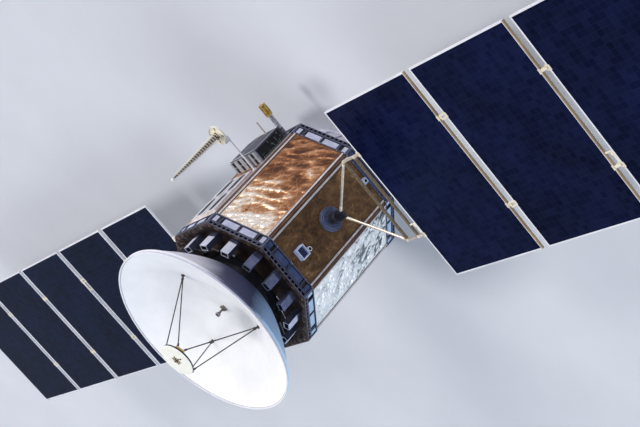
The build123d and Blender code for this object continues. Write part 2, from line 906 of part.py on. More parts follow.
def save_both(node, shape):
    """The right wing's piece, and the same piece turned half round for the left wing."""
    save("right_" + node, shape)
    save("left_" + node, Rot(0, 0, 180) * shape)


# Body
# What lies under the dish's front surface, for cutting the feet that stand on it
under_dish = between_parabolas(0, 10 * dish_skin)
brackets = strut_brackets()
core = helix_core()
save("adapter_skirt", adapter_skirt())
save("main_thruster", main_thruster())
save("bus_core", octagon(core_apothem, core_low_z, core_high_z))
save("rear_deck", octagon(body_apothem - ring_wall, rear_deck_z, core_low_z))
save("front_deck", octagon(body_apothem - ring_wall, core_high_z, front_deck_z))
save("front_ring", end_ring(core_high_z, front_z, 1))
save("rear_ring", end_ring(rear_z, core_low_z, -1))
save("corner_rails", corner_rails())
save("corner_strips", corner_strips())
save("blankets_copper", blankets([1, 2, 5, 6]))
save("blankets_gold", blankets([0, 4]))
save("blankets_silver", blankets([3, 7]))

# Dish and its deck
save("feed_horns", feed_horns())
save("deck_collar", deck_collar())
save("dish_neck", dish_neck())
save("dish_backshell", dish_backshell())
save("dish_reflector", dish_reflector())
save("dish_rim", dish_rim())
save("dish_feed", dish_feed(under_dish))
save("subreflector", subreflector())
save("subreflector_back", subreflector_back())
save("strut_brackets", brackets)
save("strut_pairs", strut_pairs(under_dish, brackets))

# Equipment on the +Y side and sensors
save("electronics_unit", electronics_unit())
save("electronics_board", electronics_board())
save("electronics_modules", electronics_modules())
save("slotted_frame", slotted_frame())
save("helix_mast", helix_mast())
save("helix_disc", helix_disc())
save("helix_core", core)
save("helix_rings", helix_rings(core))
save("barrel_antenna", barrel_antenna())
save("whip_antenna", whip_antenna())
save("side_sensors", Compound(children=side_sensors(0) + side_sensors(4)))

# Wings
save_both("drive_base", drive_base())
save_both("hub", wing_hub())
save_both("yoke", wing_yoke())
for number in range(panel_count):
    save_both("panel_" + str(number + 1), wing_panel(number))
    save_both("cells_" + str(number + 1), wing_cells(number))
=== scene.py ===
"""The communications satellite dressed: foils, cells, windings, fittings and finishes over its solids."""
import math
import bmesh
import bpy
from mathutils import Matrix, Vector


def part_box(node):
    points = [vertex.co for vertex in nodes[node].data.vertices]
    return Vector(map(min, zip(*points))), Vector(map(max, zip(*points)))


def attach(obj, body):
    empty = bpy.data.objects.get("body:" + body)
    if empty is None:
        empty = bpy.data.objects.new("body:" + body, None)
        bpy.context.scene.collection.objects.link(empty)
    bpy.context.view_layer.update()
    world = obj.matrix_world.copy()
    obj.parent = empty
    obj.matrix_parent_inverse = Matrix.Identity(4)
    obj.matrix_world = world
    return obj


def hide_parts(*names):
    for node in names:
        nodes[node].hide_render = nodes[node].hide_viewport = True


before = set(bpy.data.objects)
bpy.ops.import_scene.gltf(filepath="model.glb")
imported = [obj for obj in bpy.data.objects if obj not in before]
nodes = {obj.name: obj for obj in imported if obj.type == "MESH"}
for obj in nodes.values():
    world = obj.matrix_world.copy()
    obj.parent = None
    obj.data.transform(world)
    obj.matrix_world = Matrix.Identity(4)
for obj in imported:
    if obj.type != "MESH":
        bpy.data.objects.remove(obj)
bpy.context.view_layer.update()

# Places read from the frame
core_low, core_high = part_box("bus_core")
core_half = core_high.x
foil_low_z, foil_high_z = core_low.z, core_high.z
front_ring_low, front_ring_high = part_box("front_ring")
rear_ring_low, rear_ring_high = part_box("rear_ring")
body_half = front_ring_high.x
foil_half = body_half - 0.010
unit_low, unit_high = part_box("electronics_unit")
lid_top = unit_high.y
slotted_low, slotted_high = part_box("slotted_frame")
module_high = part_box("electronics_modules")[1]
disc_low, disc_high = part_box("helix_disc")
helix_x, helix_y = (disc_low.x + disc_high.x) / 2, (disc_low.y + disc_high.y) / 2
coil_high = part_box("helix_rings")[1]
winding_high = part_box("helix_core")[1]
drive_low, drive_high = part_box("right_drive_base")
wing_z = (drive_low.z + drive_high.z) / 2
reflector_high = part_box("dish_reflector")[1]
rim_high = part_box("dish_rim")[1]
sub_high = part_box("subreflector")[1]
feed_low, feed_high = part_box("dish_feed")
horn_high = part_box("feed_horns")[1]
deck_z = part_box("front_deck")[1].z
collar_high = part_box("deck_collar")[1]
panel_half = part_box("right_panel_1")[1].y
barrel_low, barrel_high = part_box("barrel_antenna")
adapter_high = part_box("adapter_skirt")[1]

# Sizes that the solids have: the octagon's half edge, its sides' distance, the foil and the rails
edge_half = body_half * math.tan(math.radians(22.5))
side_face, foil_wide = 1.1971, 0.42588
rail_place, rail_face = 0.44488, core_half + 0.022
# The horns' circle, their ties' ends and the height of their clips
horn_circle, tie_end, clip_z = 1.010, 0.962, 3.055
# The dish's vertex, depth and radius, and where its rods stand below and above
reflector_vertex, dish_depth, dish_radius = 3.335, 0.56, 1.537
rod_foot, rod_head, rod_gap = 0.8, 0.262, 0.0375
# The barrel's gold head, and the sensors' places on a wing side
head_long = 0.210
sensor_z, lens_z, small_sensor_z, lens_along = 2.43, 2.286, 0.705, -0.05
# The wings: root pin, yoke, hinge lines and panels
root_pin, yoke_corner, yoke_outer, hinge_y = 1.580, 2.398, 2.655, 0.750
first_edge, panel_wide, panel_pitch = 2.790, 1.820, 1.946
panel_top = wing_z + 0.020


# How a piece is started, shaped and placed
def start(name, add, **size):
    """Adds one primitive with nothing else selected and opens it for editing."""
    bpy.ops.object.select_all(action="DESELECT")
    add(**size)
    piece = bpy.context.active_object
    piece.name = name
    piece.data.name = name
    bpy.ops.object.mode_set(mode="EDIT")
    return piece


def choose(piece, kind, test):
    """Selects the faces, edges or corners whose middle passes the test, and returns how many."""
    bpy.ops.mesh.select_mode(type=kind)
    bpy.ops.mesh.select_all(action="DESELECT")
    mesh = bmesh.from_edit_mesh(piece.data)
    found = 0
    for item in {"FACE": mesh.faces, "EDGE": mesh.edges, "VERT": mesh.verts}[kind]:
        if kind == "FACE":
            middle, facing = item.calc_center_median(), item.normal
        elif kind == "EDGE":
            middle = (item.verts[0].co + item.verts[1].co) / 2
            facing = item.verts[1].co - item.verts[0].co
        else:
            middle, facing = item.co, item.normal
        if test(middle, facing):
            item.select_set(True)
            found += 1
    mesh.select_flush_mode()
    bmesh.update_edit_mesh(piece.data)
    return found


def raise_up(move):
    """Extrudes what is selected by a move."""
    bpy.ops.mesh.extrude_region_move(TRANSFORM_OT_translate={"value": move})


def widen(share, middle=(0, 0, 0)):
    """Resizes what is selected about a middle."""
    bpy.ops.transform.resize(value=share, center_override=middle)


def close(piece):
    """Leaves edit mode with the faces turned outwards."""
    bpy.ops.mesh.select_all(action="SELECT")
    bpy.ops.mesh.normals_make_consistent(inside=False)
    bpy.ops.object.mode_set(mode="OBJECT")
    return piece


def only(piece):
    """Selects one piece alone."""
    bpy.ops.object.select_all(action="DESELECT")
    piece.select_set(True)
    bpy.context.view_layer.objects.active = piece


def settle(piece, place=None):
    """Puts a piece's place into its mesh, so that its object stays at the origin."""
    only(piece)
    if place is not None:
        piece.matrix_world = place
        bpy.context.view_layer.update()
    bpy.ops.object.transform_apply(location=True, rotation=True, scale=True)
    return piece


def gather(name, pieces):
    """Joins pieces into one."""
    bpy.ops.object.select_all(action="DESELECT")
    for piece in pieces:
        piece.select_set(True)
    bpy.context.view_layer.objects.active = pieces[0]
    if len(pieces) > 1:
        bpy.ops.object.join()
    whole = bpy.context.active_object
    whole.name = name
    whole.data.name = name
    return whole


def repeat(piece, places):
    """Copies a piece to each place, each copy with its own mesh, and joins the copies."""
    name = piece.name
    copies = []
    for place in places:
        copy = piece.copy()
        copy.data = piece.data.copy()
        bpy.context.scene.collection.objects.link(copy)
        copy.matrix_world = place
        copies.append(copy)
    bpy.data.objects.remove(piece)
    return settle(gather(name, copies))


def block(name, size, ease=0.0015):
    """A box about the origin with its edges eased."""
    piece = start(name, bpy.ops.mesh.primitive_cube_add, size=1)
    widen(size)
    bpy.ops.mesh.bevel(offset=ease, segments=2, affect="EDGES")
    return close(piece)


def hollow(piece, band, thick):
    """Keeps a band round an open flat face and raises it along Z."""
    bpy.ops.mesh.inset(thickness=band, depth=0)
    bpy.ops.mesh.delete(type="FACE")
    bpy.ops.mesh.select_all(action="SELECT")
    raise_up((0, 0, thick))
    return close(piece)


def border(name, wide, high, band, thick):
    """A flat frame about the origin, raised along Z."""
    piece = start(name, bpy.ops.mesh.primitive_plane_add, size=1)
    widen((wide, high, 1))
    return hollow(piece, band, thick)


def tray(name, wide, high, thick, lip, sink):
    """A thin plate whose middle is sunk behind a lip, standing on Z = 0."""
    piece = start(name, bpy.ops.mesh.primitive_cube_add, size=1)
    widen((wide, high, thick))
    bpy.ops.transform.translate(value=(0, 0, thick / 2))
    choose(piece, "FACE", lambda middle, facing: facing.z > 0.9)
    bpy.ops.mesh.inset(thickness=lip, depth=-sink)
    return close(piece)


def turned(name, stations, corners=32):
    """A round piece about Z, drawn up from a disc through its stations of radius and height."""
    radius, height = stations[0]
    piece = start(name, bpy.ops.mesh.primitive_circle_add, vertices=corners, radius=radius,
                  fill_type="NGON")
    bpy.ops.transform.translate(value=(0, 0, height))
    for wider, higher in stations[1:]:
        raise_up((0, 0, higher - height))
        widen((wider / radius, wider / radius, 1), (0, 0, higher))
        radius, height = wider, higher
    close(piece)
    smooth(piece)
    return piece


def hoop(name, radius, wire, flat=1.0, corners=64, sides=8):
    """A thin ring about Z, flattened to a share of its thickness."""
    piece = start(name, bpy.ops.mesh.primitive_torus_add, major_radius=radius, minor_radius=wire,
                  major_segments=corners, minor_segments=sides)
    widen((1, 1, flat))
    close(piece)
    smooth(piece, 60)
    return piece


def moved(x, y, z):
    return Matrix.Translation((x, y, z))


def spun(degrees, about="Z"):
    return Matrix.Rotation(math.radians(degrees), 4, about)


# Turns that point a piece's Z axis along +Y and along +X
towards_y, towards_x = spun(-90, "X"), spun(90, "Y")


def smooth(piece, degrees=35):
    only(piece)
    bpy.ops.object.shade_smooth_by_angle(angle=math.radians(degrees), keep_sharp_edges=True)


def dress(piece, finish, body="bus", stands_for=()):
    """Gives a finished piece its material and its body."""
    piece.data.materials.clear()
    piece.data.materials.append(finish)
    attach(piece, body)
    if stands_for:
        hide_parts(*stands_for)


def apply_all(piece):
    only(piece)
    for modifier in list(piece.modifiers):
        bpy.ops.object.modifier_apply(modifier=modifier.name)


def on_side(k, along, up, out):
    """The place on side k of the octagon: X runs along the edge, Y up the body, Z outwards."""
    turn = math.radians(45 * k)
    outward = Vector((math.cos(turn), math.sin(turn), 0))
    edge = Vector((-math.sin(turn), math.cos(turn), 0))
    place = Matrix((edge, Vector((0, 0, 1)), outward)).transposed().to_4x4()
    place.translation = outward * out + edge * along + Vector((0, 0, up))
    return place


def between(foot, head):
    """The place at foot whose Z axis points to head."""
    run = Vector(head) - Vector(foot)
    place = run.to_track_quat("Z", "Y").to_matrix().to_4x4()
    place.translation = Vector(foot)
    return place


def stadium(name, radius, reach):
    """A flat face with round ends, long in Y, left open for editing."""
    piece = start(name, bpy.ops.mesh.primitive_circle_add, vertices=32, radius=radius, fill_type="NGON")
    for way in (-1, 1):
        choose(piece, "VERT", lambda middle, facing: middle.y * way > 0.001)
        bpy.ops.transform.translate(value=(0, reach * way, 0))
    bpy.ops.mesh.select_mode(type="FACE")
    bpy.ops.mesh.select_all(action="SELECT")
    return piece


def lath(name, foot, head, wide, thick, facing):
    """A flat bar from foot to head, lying on a surface that faces a direction."""
    foot, head, facing = Vector(foot), Vector(head), Vector(facing).normalized()
    along = (head - foot).normalized()
    piece = block(name, ((head - foot).length, wide, thick), min(0.0015, thick * 0.3))
    place = Matrix((along, facing.cross(along), facing)).transposed().to_4x4()
    place.translation = (foot + head) / 2 + facing * thick / 2
    return settle(piece, place)


def screw(name, radius, high, corners=8):
    """A low domed head standing on Z = 0."""
    return turned(name, [(radius, 0), (radius, high * 0.55), (radius * 0.62, high)], corners)


# Finishes
def tone(red, green, blue):
    """A colour written as it renders, from 0 to 255, as the shader's numbers."""
    parts = []
    for part in (red, green, blue):
        share = part / 255
        parts.append(share / 12.92 if share <= 0.04045 else ((share + 0.055) / 1.055) ** 2.4)
    return (*parts, 1.0)


class Finish:
    """A node material that reads Object coordinates, built up layer by layer."""

    def __init__(self, name, metal=0.0, gloss=0.5):
        self.material = bpy.data.materials.new(name)
        self.material.use_nodes = True
        self.tree = self.material.node_tree
        self.shader = self.tree.nodes["Principled BSDF"]
        self.shader.inputs["Metallic"].default_value = metal
        self.shader.inputs["Specular IOR Level"].default_value = gloss
        self.coords = self.tree.nodes.new("ShaderNodeTexCoord")
        self.bump = None
        self.drift = None

    def node(self, kind, sockets=None, **settings):
        """A new node; each of its sockets named here is set to a number or linked to a source."""
        node = self.tree.nodes.new(kind)
        for key, value in settings.items():
            setattr(node, key, value)
        for name, source in (sockets or {}).items():
            if isinstance(source, bpy.types.NodeSocket):
                self.link(source, node.inputs[name])
            else:
                node.inputs[name].default_value = source
        return node

    def link(self, source, target):
        self.tree.links.new(source, target)

    def mapped(self, scale=(1, 1, 1), turn=(0, 0, 0), shift=(0, 0, 0)):
        sockets = {"Vector": self.coords.outputs["Object"], "Scale": scale, "Rotation": turn,
                   "Location": shift}
        return self.node("ShaderNodeMapping", sockets).outputs["Vector"]

    def noise(self, where, size, detail=4.0, rough=0.55, warp=0.0):
        sockets = {"Vector": where, "Scale": size, "Detail": detail, "Roughness": rough, "Distortion": warp}
        return self.node("ShaderNodeTexNoise", sockets).outputs["Fac"]

    def cracks(self, where, size, feature="DISTANCE_TO_EDGE", metric="EUCLIDEAN", spread=1.0):
        return self.node("ShaderNodeTexVoronoi", {"Vector": where, "Scale": size, "Randomness": spread},
                         feature=feature, distance=metric).outputs

    def ramp(self, value, *marks):
        """Colours at places along a value."""
        node = self.node("ShaderNodeValToRGB", {"Fac": value})
        ramp = node.color_ramp
        marks = [(place, tone(*colour)) for place, colour in marks]
        ramp.elements[0].position, ramp.elements[0].color = marks[0]
        ramp.elements[1].position, ramp.elements[1].color = marks[-1]
        for place, colour in marks[1:-1]:
            ramp.elements.new(place).color = colour
        return node.outputs["Color"]

    def stops(self, value, low, high, first, last):
        return self.ramp(value, (low, first), (high, last))

    def shades(self, dark, light):
        """Two tones that a coat drifts between."""
        return self.stops(self.drift, 0.32, 0.68, dark, light)

    def span(self, value, low, high, first=0.0, last=1.0):
        """A number that runs from first to last while the value runs from low to high."""
        sockets = {"Value": value, "From Min": low, "From Max": high, "To Min": first, "To Max": last}
        return self.node("ShaderNodeMapRange", sockets).outputs["Result"]

    def blend(self, share, first, second, kind="MIX"):
        """A mix of two colours, each written as three numbers or linked."""
        first, second = [tone(*side) if isinstance(side, tuple) else side for side in (first, second)]
        return self.node("ShaderNodeMix", {0: share, 6: first, 7: second}, data_type="RGBA",
                         blend_type=kind).outputs[2]

    def axis(self, name, output="Object"):
        parts = self.node("ShaderNodeSeparateXYZ", {"Vector": self.coords.outputs[output]})
        return parts.outputs[name]

    def facing(self, name):
        return self.axis(name, "Normal")

    def attribute(self, name):
        return self.node("ShaderNodeAttribute", attribute_name=name).outputs["Fac"]

    def maths(self, kind, first, second=0.0):
        return self.node("ShaderNodeMath", {0: first, 1: second}, operation=kind).outputs["Value"]

    def plus(self, first, second):
        return self.maths("ADD", first, second)

    def minus(self, first, second):
        return self.maths("SUBTRACT", first, second)

    def times(self, first, second):
        return self.maths("MULTIPLY", first, second)

    def over(self, first, second):
        return self.maths("DIVIDE", first, second)

    def most(self, first, second):
        return self.maths("MAXIMUM", first, second)

    def away(self, name):
        """Distance from the plane across an axis, on either side."""
        return self.maths("ABSOLUTE", self.axis(name))

    def radial(self):
        """How far a face looks away from the body axis, from -1 to 1."""
        place, normal = self.coords.outputs["Object"], self.coords.outputs["Normal"]
        flat = self.node("ShaderNodeVectorMath", {0: place, 1: (1, 1, 0)}, operation="MULTIPLY")
        unit = self.node("ShaderNodeVectorMath", {0: flat.outputs["Vector"]}, operation="NORMALIZE")
        meet = self.node("ShaderNodeVectorMath", {0: unit.outputs["Vector"], 1: normal},
                         operation="DOT_PRODUCT")
        return meet.outputs["Value"]

    def apothem(self):
        """Distance from the body axis to the octagon's side that passes through the point."""
        across, deep = self.away("X"), self.away("Y")
        slant = self.times(self.plus(across, deep), math.sqrt(0.5))
        return self.most(self.most(across, deep), slant)

    def colour(self, source):
        self.link(source, self.shader.inputs["Base Color"])

    def rough(self, value, first, last):
        self.link(self.span(value, 0.3, 0.7, first, last), self.shader.inputs["Roughness"])

    def relief(self, height, depth, strength=1.0):
        """One more layer of bumps over those before it."""
        sockets = {"Height": height, "Distance": depth, "Strength": strength}
        if self.bump:
            sockets["Normal"] = self.bump
        self.bump = self.node("ShaderNodeBump", sockets).outputs["Normal"]
        self.link(self.bump, self.shader.inputs["Normal"])


def coating(name, grain, soft, sheen, gloss=0.4, peel=0.0006):
    """A sprayed coat with an orange peel, and the slow drift that its colours follow."""
    coat = Finish(name, gloss=gloss)
    coat.drift = coat.noise(coat.mapped(), grain, 5.0, 0.6)
    coat.rough(coat.drift, soft, sheen)
    coat.relief(coat.noise(coat.mapped(), 260.0, 2.0), peel, 0.5)
    return coat


def paint(name, dark, light, grain=9.0, soft=0.42, sheen=0.58, gloss=0.4, peel=0.0006):
    """Sprayed coating: the colour drifts a little, with a fine orange peel."""
    coat = coating(name, grain, soft, sheen, gloss, peel)
    coat.colour(coat.shades(dark, light))
    return coat.material


def metal(name, dark, light, along=(1, 1, 1), grain=40.0, soft=0.28, sheen=0.46, depth=0.0004, share=1.0):
    """Brushed or anodised metal: fine streaks along one axis over a slow change of tone."""
    sheet = Finish(name, metal=share)
    streaks = sheet.noise(sheet.mapped(along), grain, 4.0, 0.7)
    slow = sheet.noise(sheet.mapped(), 6.0, 3.0)
    sheet.colour(sheet.stops(sheet.blend(0.45, streaks, slow), 0.35, 0.65, dark, light))
    sheet.rough(streaks, soft, sheen)
    sheet.relief(streaks, depth, 0.6)
    return sheet.material


def foil(name, marks, fold, crease, turn, soft, sheen, deep, share, reach=None, highlight_zone=None):
    """Insulation film. With a reach its colour follows its own folds as painted light: painted shade in the
    hollows and painted highlights on the crests and crease lines. With a highlight_zone triple it pales
    from one height to another by a share, a painted highlight, and painted shade darkens its small creases
    there."""
    film = Finish(name, metal=share)
    stretched = film.mapped((1, 1, 0.45), turn)
    folds = film.noise(stretched, fold, 6.0, 0.62, 0.8)
    creases = film.cracks(stretched, crease)["Distance"]
    fine = film.noise(film.mapped(), crease * 6, 5.0, 0.7, 0.4)
    small = film.cracks(stretched, crease * 2.7)["Distance"]
    value = folds
    if reach:
        # Painted shade in the hollows and painted highlight on the crests, from the film's own height
        shade_and_highlight = film.span(film.attribute("fold"), *reach)
        value = film.plus(film.times(shade_and_highlight, 0.75), film.times(folds, 0.25))
        # Painted highlight along the crease lines
        value = film.plus(value, film.span(creases, 0.0, 0.05, 0.12, 0.0))
        value = film.plus(value, film.span(small, 0.0, 0.06, 0.06, -0.02))
    value = film.plus(film.times(value, 0.9), film.times(fine, 0.1))
    if highlight_zone:
        # Painted highlight: the film pales from one height to another
        drift = film.times(film.minus(folds, 0.5), 1.6)
        low, high, gain = highlight_zone
        highlight_share = film.span(film.plus(film.axis("Z"), drift), low, high)
        value = film.plus(value, film.times(film.minus(highlight_share, 0.35), gain))
        # Painted shade in the small creases inside the highlight
        lines = film.times(film.span(small, 0.0, 0.035, gain * 1.1, 0.0), highlight_share)
        value = film.minus(value, lines)
    film.colour(film.ramp(value, *marks))
    film.rough(fine, soft, sheen)
    film.relief(folds, deep, 0.9)
    film.relief(creases, deep * 0.7, 0.9)
    film.relief(small, deep * 0.35, 0.9)
    film.relief(fine, deep * 0.18, 0.7)
    return film.material


# Films with a reach run from painted shade in their hollows to painted highlight on their crests; the
# copper and silver films also get a painted highlight that grows with height
copper_film = foil("copper film", ((0.14, (92, 56, 34)), (0.34, (166, 110, 72)), (0.50, (208, 154, 112)),
                                   (0.66, (248, 224, 198)), (0.88, (255, 250, 243))),
                   fold=2.0, crease=8.0, turn=(0.0, 0.5, 0.3), soft=0.23, sheen=0.37, deep=0.016,
                   share=0.58, reach=(-0.012, 0.018), highlight_zone=(1.2, 2.6, 0.52))
gold_film = foil("gold brown film", ((0.22, (58, 42, 30)), (0.44, (104, 76, 50)), (0.60, (130, 98, 64)),
                                     (0.84, (214, 180, 142))),
                 fold=2.6, crease=9.0, turn=(0.3, 0.0, 0.0), soft=0.30, sheen=0.46, deep=0.016, share=0.6,
                 reach=(-0.010, 0.014))
silver_film = foil("silver film", ((0.20, (30, 36, 42)), (0.34, (120, 130, 138)), (0.45, (234, 238, 240)),
                                   (0.80, (250, 251, 251))),
                   fold=3.4, crease=8.0, turn=(0.2, 0.4, 0.0), soft=0.28, sheen=0.44, deep=0.014,
                   share=0.22, reach=(-0.012, 0.014), highlight_zone=(0.5, 2.3, 0.28))
deck_film = foil("dark deck film", ((0.34, (34, 27, 30)), (0.66, (70, 54, 48))),
                 fold=5.0, crease=14.0, turn=(0.0, 0.0, 0.4), soft=0.40, sheen=0.56, deep=0.012, share=0.3)
skirt_film = foil("deck skirt film", ((0.30, (46, 36, 34)), (0.52, (112, 90, 78)), (0.74, (218, 198, 184))),
                  fold=6.0, crease=16.0, turn=(0.0, 0.0, 0.4), soft=0.32, sheen=0.46, deep=0.006, share=0.4,
                  reach=(-0.010, 0.010))
strip_film = foil("brown strip film", ((0.34, (86, 58, 44)), (0.60, (124, 88, 68)), (0.74, (160, 116, 92))),
                  fold=6.0, crease=18.0, turn=(0.0, 0.0, 0.0), soft=0.30, sheen=0.46, deep=0.008, share=0.6)

trim_pale = paint("pale trim", (190, 192, 212), (220, 222, 238), 30.0, 0.36, 0.5)
# Pale lines on the rings' edges and pocket frames: a painted highlight
edge_highlight_coat = paint("ring lines", (92, 98, 130), (128, 136, 168), 30.0, 0.36, 0.5)
rail_pale = metal("pale rail", (198, 188, 186), (238, 232, 232), (1, 1, 0.04), share=0.5)
feed_coat = paint("feed grey", (92, 84, 80), (138, 128, 122), 40.0, 0.40, 0.56)
# Painted shade for the bottom of the sensors' recesses
hollow_blue = paint("sensor hollow", (36, 46, 76), (58, 72, 108), 40.0, 0.40, 0.56)
cover_coat = paint("cover grey", (188, 186, 192), (220, 218, 224), 14.0, 0.36, 0.52)
seam_coat = paint("seam shadow", (20, 14, 14), (36, 26, 24), 30.0, 0.5, 0.7)
black_coat = paint("black thermal paint", (22, 23, 30), (40, 41, 52), 12.0, 0.5, 0.7, 0.35)
liner_black = paint("liner black", (10, 11, 15), (22, 23, 29), 22.0, 0.5, 0.7, 0.3)
dish_coat = paint("dish white", (236, 236, 240), (246, 246, 249), 2.2, 0.46, 0.60, 0.3, 0.0004)
rod_coat = paint("dark rod", (44, 40, 40), (74, 68, 66), 30.0, 0.34, 0.52)
cream_coat = paint("cream paint", (232, 226, 204), (248, 244, 228), 14.0, 0.42, 0.58)
face_coat = paint("subreflector face", (240, 238, 226), (251, 250, 243), 14.0, 0.42, 0.58)
white_coat = paint("white paint", (226, 226, 232), (244, 244, 248), 20.0, 0.40, 0.56)
gold_fit = metal("gold fitting", (168, 132, 72), (232, 206, 148), grain=50.0, sheen=0.44, share=0.8)
bronze_fit = metal("bronze fitting", (98, 74, 50), (150, 118, 82), grain=50.0, soft=0.32, sheen=0.48,
                   share=0.8)
module_coat = paint("module grey", (150, 152, 160), (182, 184, 192), 20.0, 0.38, 0.52)
winding_coat = paint("winding cream", (226, 214, 188), (250, 246, 232), 40.0, 0.32, 0.48, 0.5)
fin_coat = paint("winding fins", (172, 160, 152), (208, 198, 190), 40.0, 0.40, 0.56)
drive_coat = paint("drive grey", (60, 70, 100), (82, 92, 124), 18.0, 0.34, 0.50, 0.5)
drive_trim = paint("drive trim", (82, 92, 122), (108, 118, 150), 30.0, 0.34, 0.48)
band_coat = paint("hub band", (60, 66, 86), (86, 92, 114), 30.0, 0.34, 0.48)
hub_coat = paint("hub black", (20, 21, 28), (38, 40, 50), 26.0, 0.32, 0.50, 0.5)
adapter_coat = paint("adapter paint", (196, 196, 214), (218, 218, 232), 5.0, 0.42, 0.58)
sensor_coat = paint("sensor blue", (140, 160, 204), (176, 194, 230), 24.0, 0.36, 0.52)
mark_white = paint("board marks", (214, 218, 216), (240, 242, 240), 60.0, 0.40, 0.56)
mark_green = paint("board strips", (44, 104, 82), (70, 140, 110), 60.0, 0.40, 0.56)
hinge_gold = metal("hinge cream", (220, 208, 180), (248, 243, 226), grain=50.0, soft=0.30, share=0.2)


def pocket_finish():
    """Pocket plates with painted light: lavender on the lit sides, painted shade in dark blue on the wing
    sides and a painted blue light on the silver sides.
    """
    coat = coating("pocket plate", 12.0, 0.40, 0.56, peel=0.0004)
    # Lit, shaded and blue-lit copies of one plate colour: painted light and shade
    pale = coat.shades((172, 178, 206), (204, 208, 232))
    dark = coat.shades((50, 62, 98), (74, 88, 128))
    blue = coat.shades((158, 188, 222), (190, 214, 240))
    shaded_wing_side = coat.span(coat.away("Y"), edge_half + 0.002, edge_half - 0.002)
    # X times Y is lowest on the two silver sides, and the slant leaves out the +Y and -Y sides
    blue_lit_side = coat.span(coat.times(coat.axis("X"), coat.axis("Y")), -0.50, -0.62)
    slanted = coat.span(coat.away("X"), edge_half - 0.002, edge_half + 0.002)
    body = coat.blend(coat.times(blue_lit_side, slanted), pale, blue)
    coat.colour(coat.blend(shaded_wing_side, body, dark))
    return coat.material


def ring_finish():
    """Anodised ring: dark blue outside, and black inside the pockets and slots as painted shade."""
    coat = coating("anodised ring", 14.0, 0.34, 0.50, 0.5)
    # Painted shade: black wherever the ring lies in from its outer face, in its pockets and slots
    outside = coat.span(coat.apothem(), body_half - 0.006, body_half - 0.002)
    skin = coat.shades((15, 17, 30), (26, 30, 48))
    coat.colour(coat.blend(outside, (10, 11, 17), skin))
    return coat.material


def horn_finish():
    """Pale outer and upper faces; painted shade makes the faces between the horns and the lower part of
    each horn slate, and dims the horns towards +X and -X.
    """
    coat = coating("horn paint", 16.0, 0.40, 0.56)
    pale = coat.most(coat.span(coat.radial(), 0.5, 0.8), coat.span(coat.facing("Z"), 0.5, 0.8))
    # Painted shade below this height
    painted_shade_top = horn_high.z - 0.216
    pale = coat.times(pale, coat.span(coat.axis("Z"), painted_shade_top - 0.006, painted_shade_top))
    slate = coat.shades((46, 50, 68), (66, 72, 94))
    light = coat.shades((184, 188, 210), (214, 218, 236))
    # Painted shade: a dimmer copy of the pale faces for the horns towards +X and -X
    shaded_copy = coat.shades((88, 96, 128), (116, 124, 158))
    lean = coat.over(coat.away("Y"), coat.away("X"))
    light = coat.blend(coat.span(lean, 0.60, 0.68), shaded_copy, light)
    coat.colour(coat.blend(pale, slate, light))
    return coat.material


def shell_painted_light(coat):
    """Painted light and shade: lavender towards +Y, painted shade in slate in the middle and a painted blue
    light towards -Y, shifted a little by the coat's drift.
    """
    value = coat.plus(coat.span(coat.axis("Y"), -1.5, 1.5),
                     coat.span(coat.drift, 0.3, 0.7, -0.02, 0.02))
    return coat.ramp(value, (0.22, (210, 238, 255)), (0.43, (188, 222, 255)),
                     (0.55, (72, 78, 106)), (0.70, (92, 94, 122)), (0.84, (244, 244, 252)))


def back_finish():
    """Back shell's coat, with painted light and shade."""
    coat = coating("dish back paint", 2.6, 0.46, 0.62, 0.3)
    coat.colour(shell_painted_light(coat))
    return coat.material


def rim_finish():
    """Rim band: white on top, lavender on its upper part, and below it the back shell's painted light and
    shade.
    """
    coat = coating("rim band paint", 8.0, 0.38, 0.54)
    # Below: the back shell's painted light and shade
    low = shell_painted_light(coat)
    high = coat.shades((196, 198, 222), (222, 224, 240))
    white = coat.shades((234, 234, 238), (244, 244, 247))
    wall = coat.blend(coat.span(coat.axis("Z"), rim_high.z - 0.031, rim_high.z - 0.029), low, high)
    coat.colour(coat.blend(coat.span(coat.facing("Z"), 0.5, 0.8), wall, white))
    return coat.material


def unit_finish():
    """Housing grey, with a darker lid."""
    coat = coating("unit grey", 12.0, 0.38, 0.54)
    wall = coat.shades((100, 104, 122), (132, 136, 154))
    lid = coat.shades((32, 35, 48), (48, 52, 68))
    coat.colour(coat.blend(coat.span(coat.axis("Y"), lid_top - 0.0125, lid_top - 0.0115), wall, lid))
    return coat.material


def tip_finish():
    """The dark former inside the winding, with its white ball at the tip."""
    coat = coating("winding former", 30.0, 0.36, 0.52)
    dark = coat.shades((44, 36, 32), (72, 60, 52))
    ball = coat.shades((232, 230, 224), (248, 247, 243))
    tip = coat.span(coat.axis("Z"), winding_high.z - 0.056, winding_high.z - 0.052)
    coat.colour(coat.blend(tip, dark, ball))
    return coat.material


def barrel_finish():
    """Pale metal stem, grey near its foot, and a polished gold head."""
    coat = coating("barrel metal", 24.0, 0.22, 0.34, 0.5, 0.0004)
    coat.shader.inputs["Metallic"].default_value = 0.75
    stem = coat.shades((158, 158, 168), (196, 196, 206))
    grey = coat.shades((100, 102, 116), (132, 134, 146))
    head = coat.shades((168, 128, 60), (214, 178, 104))
    reach, neck = coat.axis("Y"), barrel_high.y - head_long
    body = coat.blend(coat.span(reach, barrel_low.y + 0.16, barrel_low.y + 0.17), grey, stem)
    coat.colour(coat.blend(coat.span(reach, neck - 0.001, neck + 0.001), body, head))
    return coat.material


